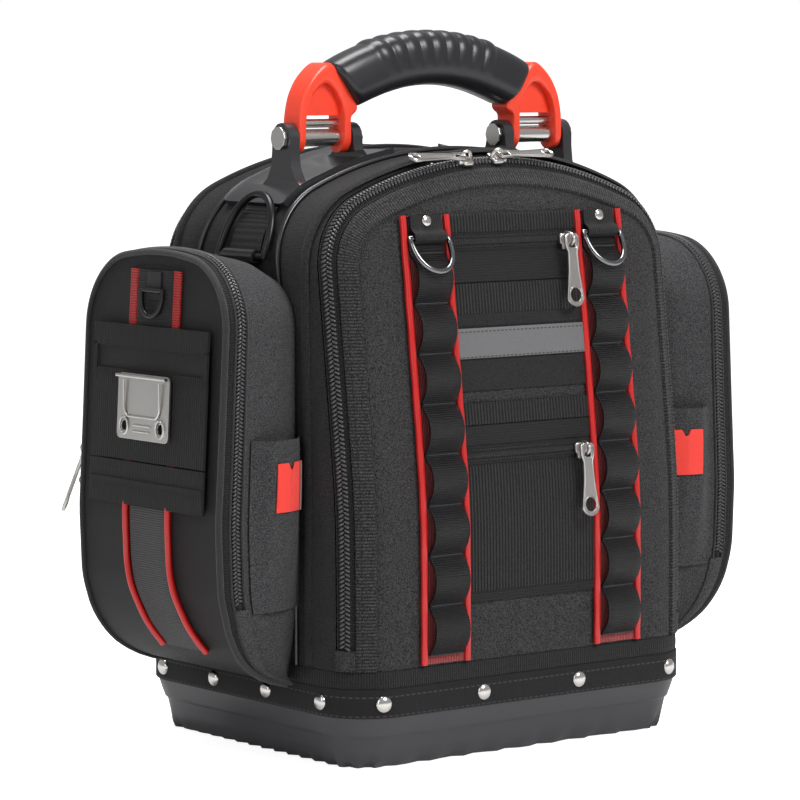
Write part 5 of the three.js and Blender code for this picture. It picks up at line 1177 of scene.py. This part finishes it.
def padded(node, material, voxel=0.005, shrink=0.0022, reach=0.0026, pressure=4, frames=20):
    """A foam pad: the CAD solid's shape in small even faces, drawn in a little along its normals, then
    blown up by the cloth simulation's pressure; no point may end further than the reach from where it
    began."""
    mesh = frame["nodes"][node].data.copy()
    mesh.materials.clear()
    bm = bmesh.new()
    bm.from_mesh(mesh)
    bmesh.ops.remove_doubles(bm, verts=bm.verts, dist=1e-6)
    bm.to_mesh(mesh)
    bm.free()
    obj = bpy.data.objects.new(node + "_padded", mesh)
    bpy.context.collection.objects.link(obj)
    mod = obj.modifiers.new("even", "REMESH")
    mod.mode, mod.voxel_size = "VOXEL", voxel
    soft = obj.modifiers.new("soft", "SMOOTH")
    soft.factor, soft.iterations = 0.5, 3

    def settle():
        """The mesh as the live modifiers leave it."""
        bpy.context.view_layer.update()
        return bpy.data.meshes.new_from_object(obj.evaluated_get(bpy.context.evaluated_depsgraph_get()))

    even = settle()
    obj.modifiers.clear()
    obj.data = even
    n = len(even.vertices)
    first, normal = np.empty(n * 3), np.empty(n * 3)
    even.vertices.foreach_get("co", first)
    even.vertex_normals.foreach_get("vector", normal)
    start = first.reshape(-1, 3) - normal.reshape(-1, 3) * shrink
    even.vertices.foreach_set("co", start.ravel())
    even.update()
    cloth = obj.modifiers.new("swell", "CLOTH")
    cloth.settings.use_pressure = True
    cloth.settings.uniform_pressure_force = pressure
    cloth.settings.effector_weights.gravity = 0
    cloth.point_cache.frame_start, cloth.point_cache.frame_end = 1, frames
    for f in range(1, frames + 1):
        bpy.context.scene.frame_set(f)
    swollen = settle()
    end = np.empty(n * 3)
    swollen.vertices.foreach_get("co", end)
    obj.modifiers.clear()
    bpy.context.scene.frame_set(1)
    move = end.reshape(-1, 3) - start
    far = np.linalg.norm(move, axis=1, keepdims=True)
    even.vertices.foreach_set("co", (start + move * np.minimum(1,
                                                               reach / np.maximum(far, 1e-9))).ravel())
    even.update()
    even.materials.append(material)
    even.polygons.foreach_set("use_smooth", np.ones(len(even.polygons), bool))
    mod = obj.modifiers.new("fine", "SUBSURF")
    mod.levels = mod.render_levels = 1
    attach(obj, "bag")
    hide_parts(node)


for node in ("back_pad", "shoulder_strap_left", "shoulder_strap_right"):
    padded(node, mesh_cloth)
strap_pad_foot = 0.153  # metres: below this the strap is plain webbing
for word in ("left", "right"):
    foot = fitting("shoulder_strap_" + word, web_tab, 0.0, 60)
    foot.name = "strap_webbing_" + word
    bm = bmesh.new()
    bm.from_mesh(foot.data)
    bmesh.ops.bisect_plane(bm, geom=bm.verts[:] + bm.edges[:] + bm.faces[:],
                           plane_co=(0, 0, strap_pad_foot), plane_no=(0, 0, 1), clear_outer=True)
    bm.to_mesh(foot.data)
    bm.free()

# Stage, light and camera
floor_mesh = bpy.data.meshes.new("floor")
reach, drop = 30, -0.0003
corners = [(x * reach, y * reach, drop) for x, y in ((-1, -1), (1, -1), (1, 1), (-1, 1))]
floor_mesh.from_pydata(corners, [], [(0, 1, 2, 3)])
floor = bpy.data.objects.new("floor", floor_mesh)
bpy.context.collection.objects.link(floor)
paper = Nodes("floor_white")
paper.set(paper.out.inputs["Base Color"], (0.9, 0.9, 0.9, 1))
paper.set(paper.out.inputs["Roughness"], 0.8)
ray = paper.add("ShaderNodeLightPath").outputs["Is Camera Ray"]
paper.set(paper.out.inputs["Emission Color"], (1, 1, 1, 1))
paper.set(paper.out.inputs["Emission Strength"], paper.math("MULTIPLY", ray, 0.8))
floor_mesh.materials.append(paper.mat)
world = bpy.data.worlds.new("studio")
world.use_nodes = True
sky = world.node_tree
ray = sky.nodes.new("ShaderNodeLightPath")
power = sky.nodes.new("ShaderNodeMath")
power.operation = "MULTIPLY_ADD"
sky.links.new(ray.outputs["Is Camera Ray"], power.inputs[0])
power.inputs[1].default_value, power.inputs[2].default_value = 0.6, 0.42
sky.nodes["Background"].inputs[0].default_value = (1, 1, 1, 1)
sky.links.new(power.outputs[0], sky.nodes["Background"].inputs[1])
bpy.context.scene.world = world
bpy.context.scene.view_settings.view_transform = "Standard"


def lamp(name, place, target, size, power):
    """A soft rectangular studio light at a place, turned to a target."""
    data = bpy.data.lights.new(name, "AREA")
    data.shape = "RECTANGLE"
    data.size, data.size_y = size
    data.energy = power
    obj = bpy.data.objects.new(name, data)
    obj.location = place
    obj.rotation_euler = (Vector(target) - Vector(place)).to_track_quat("-Z", "Y").to_euler()
    bpy.context.collection.objects.link(obj)


lamp("key", (0.3, -1.9, 1.7), (0, 0, 0.2), (0.9, 0.9), 40)
lamp("side", (-2.0, -0.6, 1.0), (0, 0, 0.2), (0.8, 1.4), 8)
lamp("top", (0.0, 0.3, 2.0), (0, 0, 0.3), (1.2, 0.8), 34)
camera = bpy.data.cameras.new("camera")
camera.lens, camera.sensor_width = 171.6, 36
camera.clip_end = 100
view = bpy.data.objects.new("camera", camera)
heading, height = math.radians(-38.01), math.radians(5.30)
back = Vector((math.sin(heading) * math.cos(height), -math.cos(heading) * math.cos(height),
               math.sin(height)))
view.location = (-1.4262, -1.80878, 0.413)
view.rotation_euler = (-back).to_track_quat("-Z", "Y").to_euler()
bpy.context.collection.objects.link(view)
bpy.context.scene.camera = view
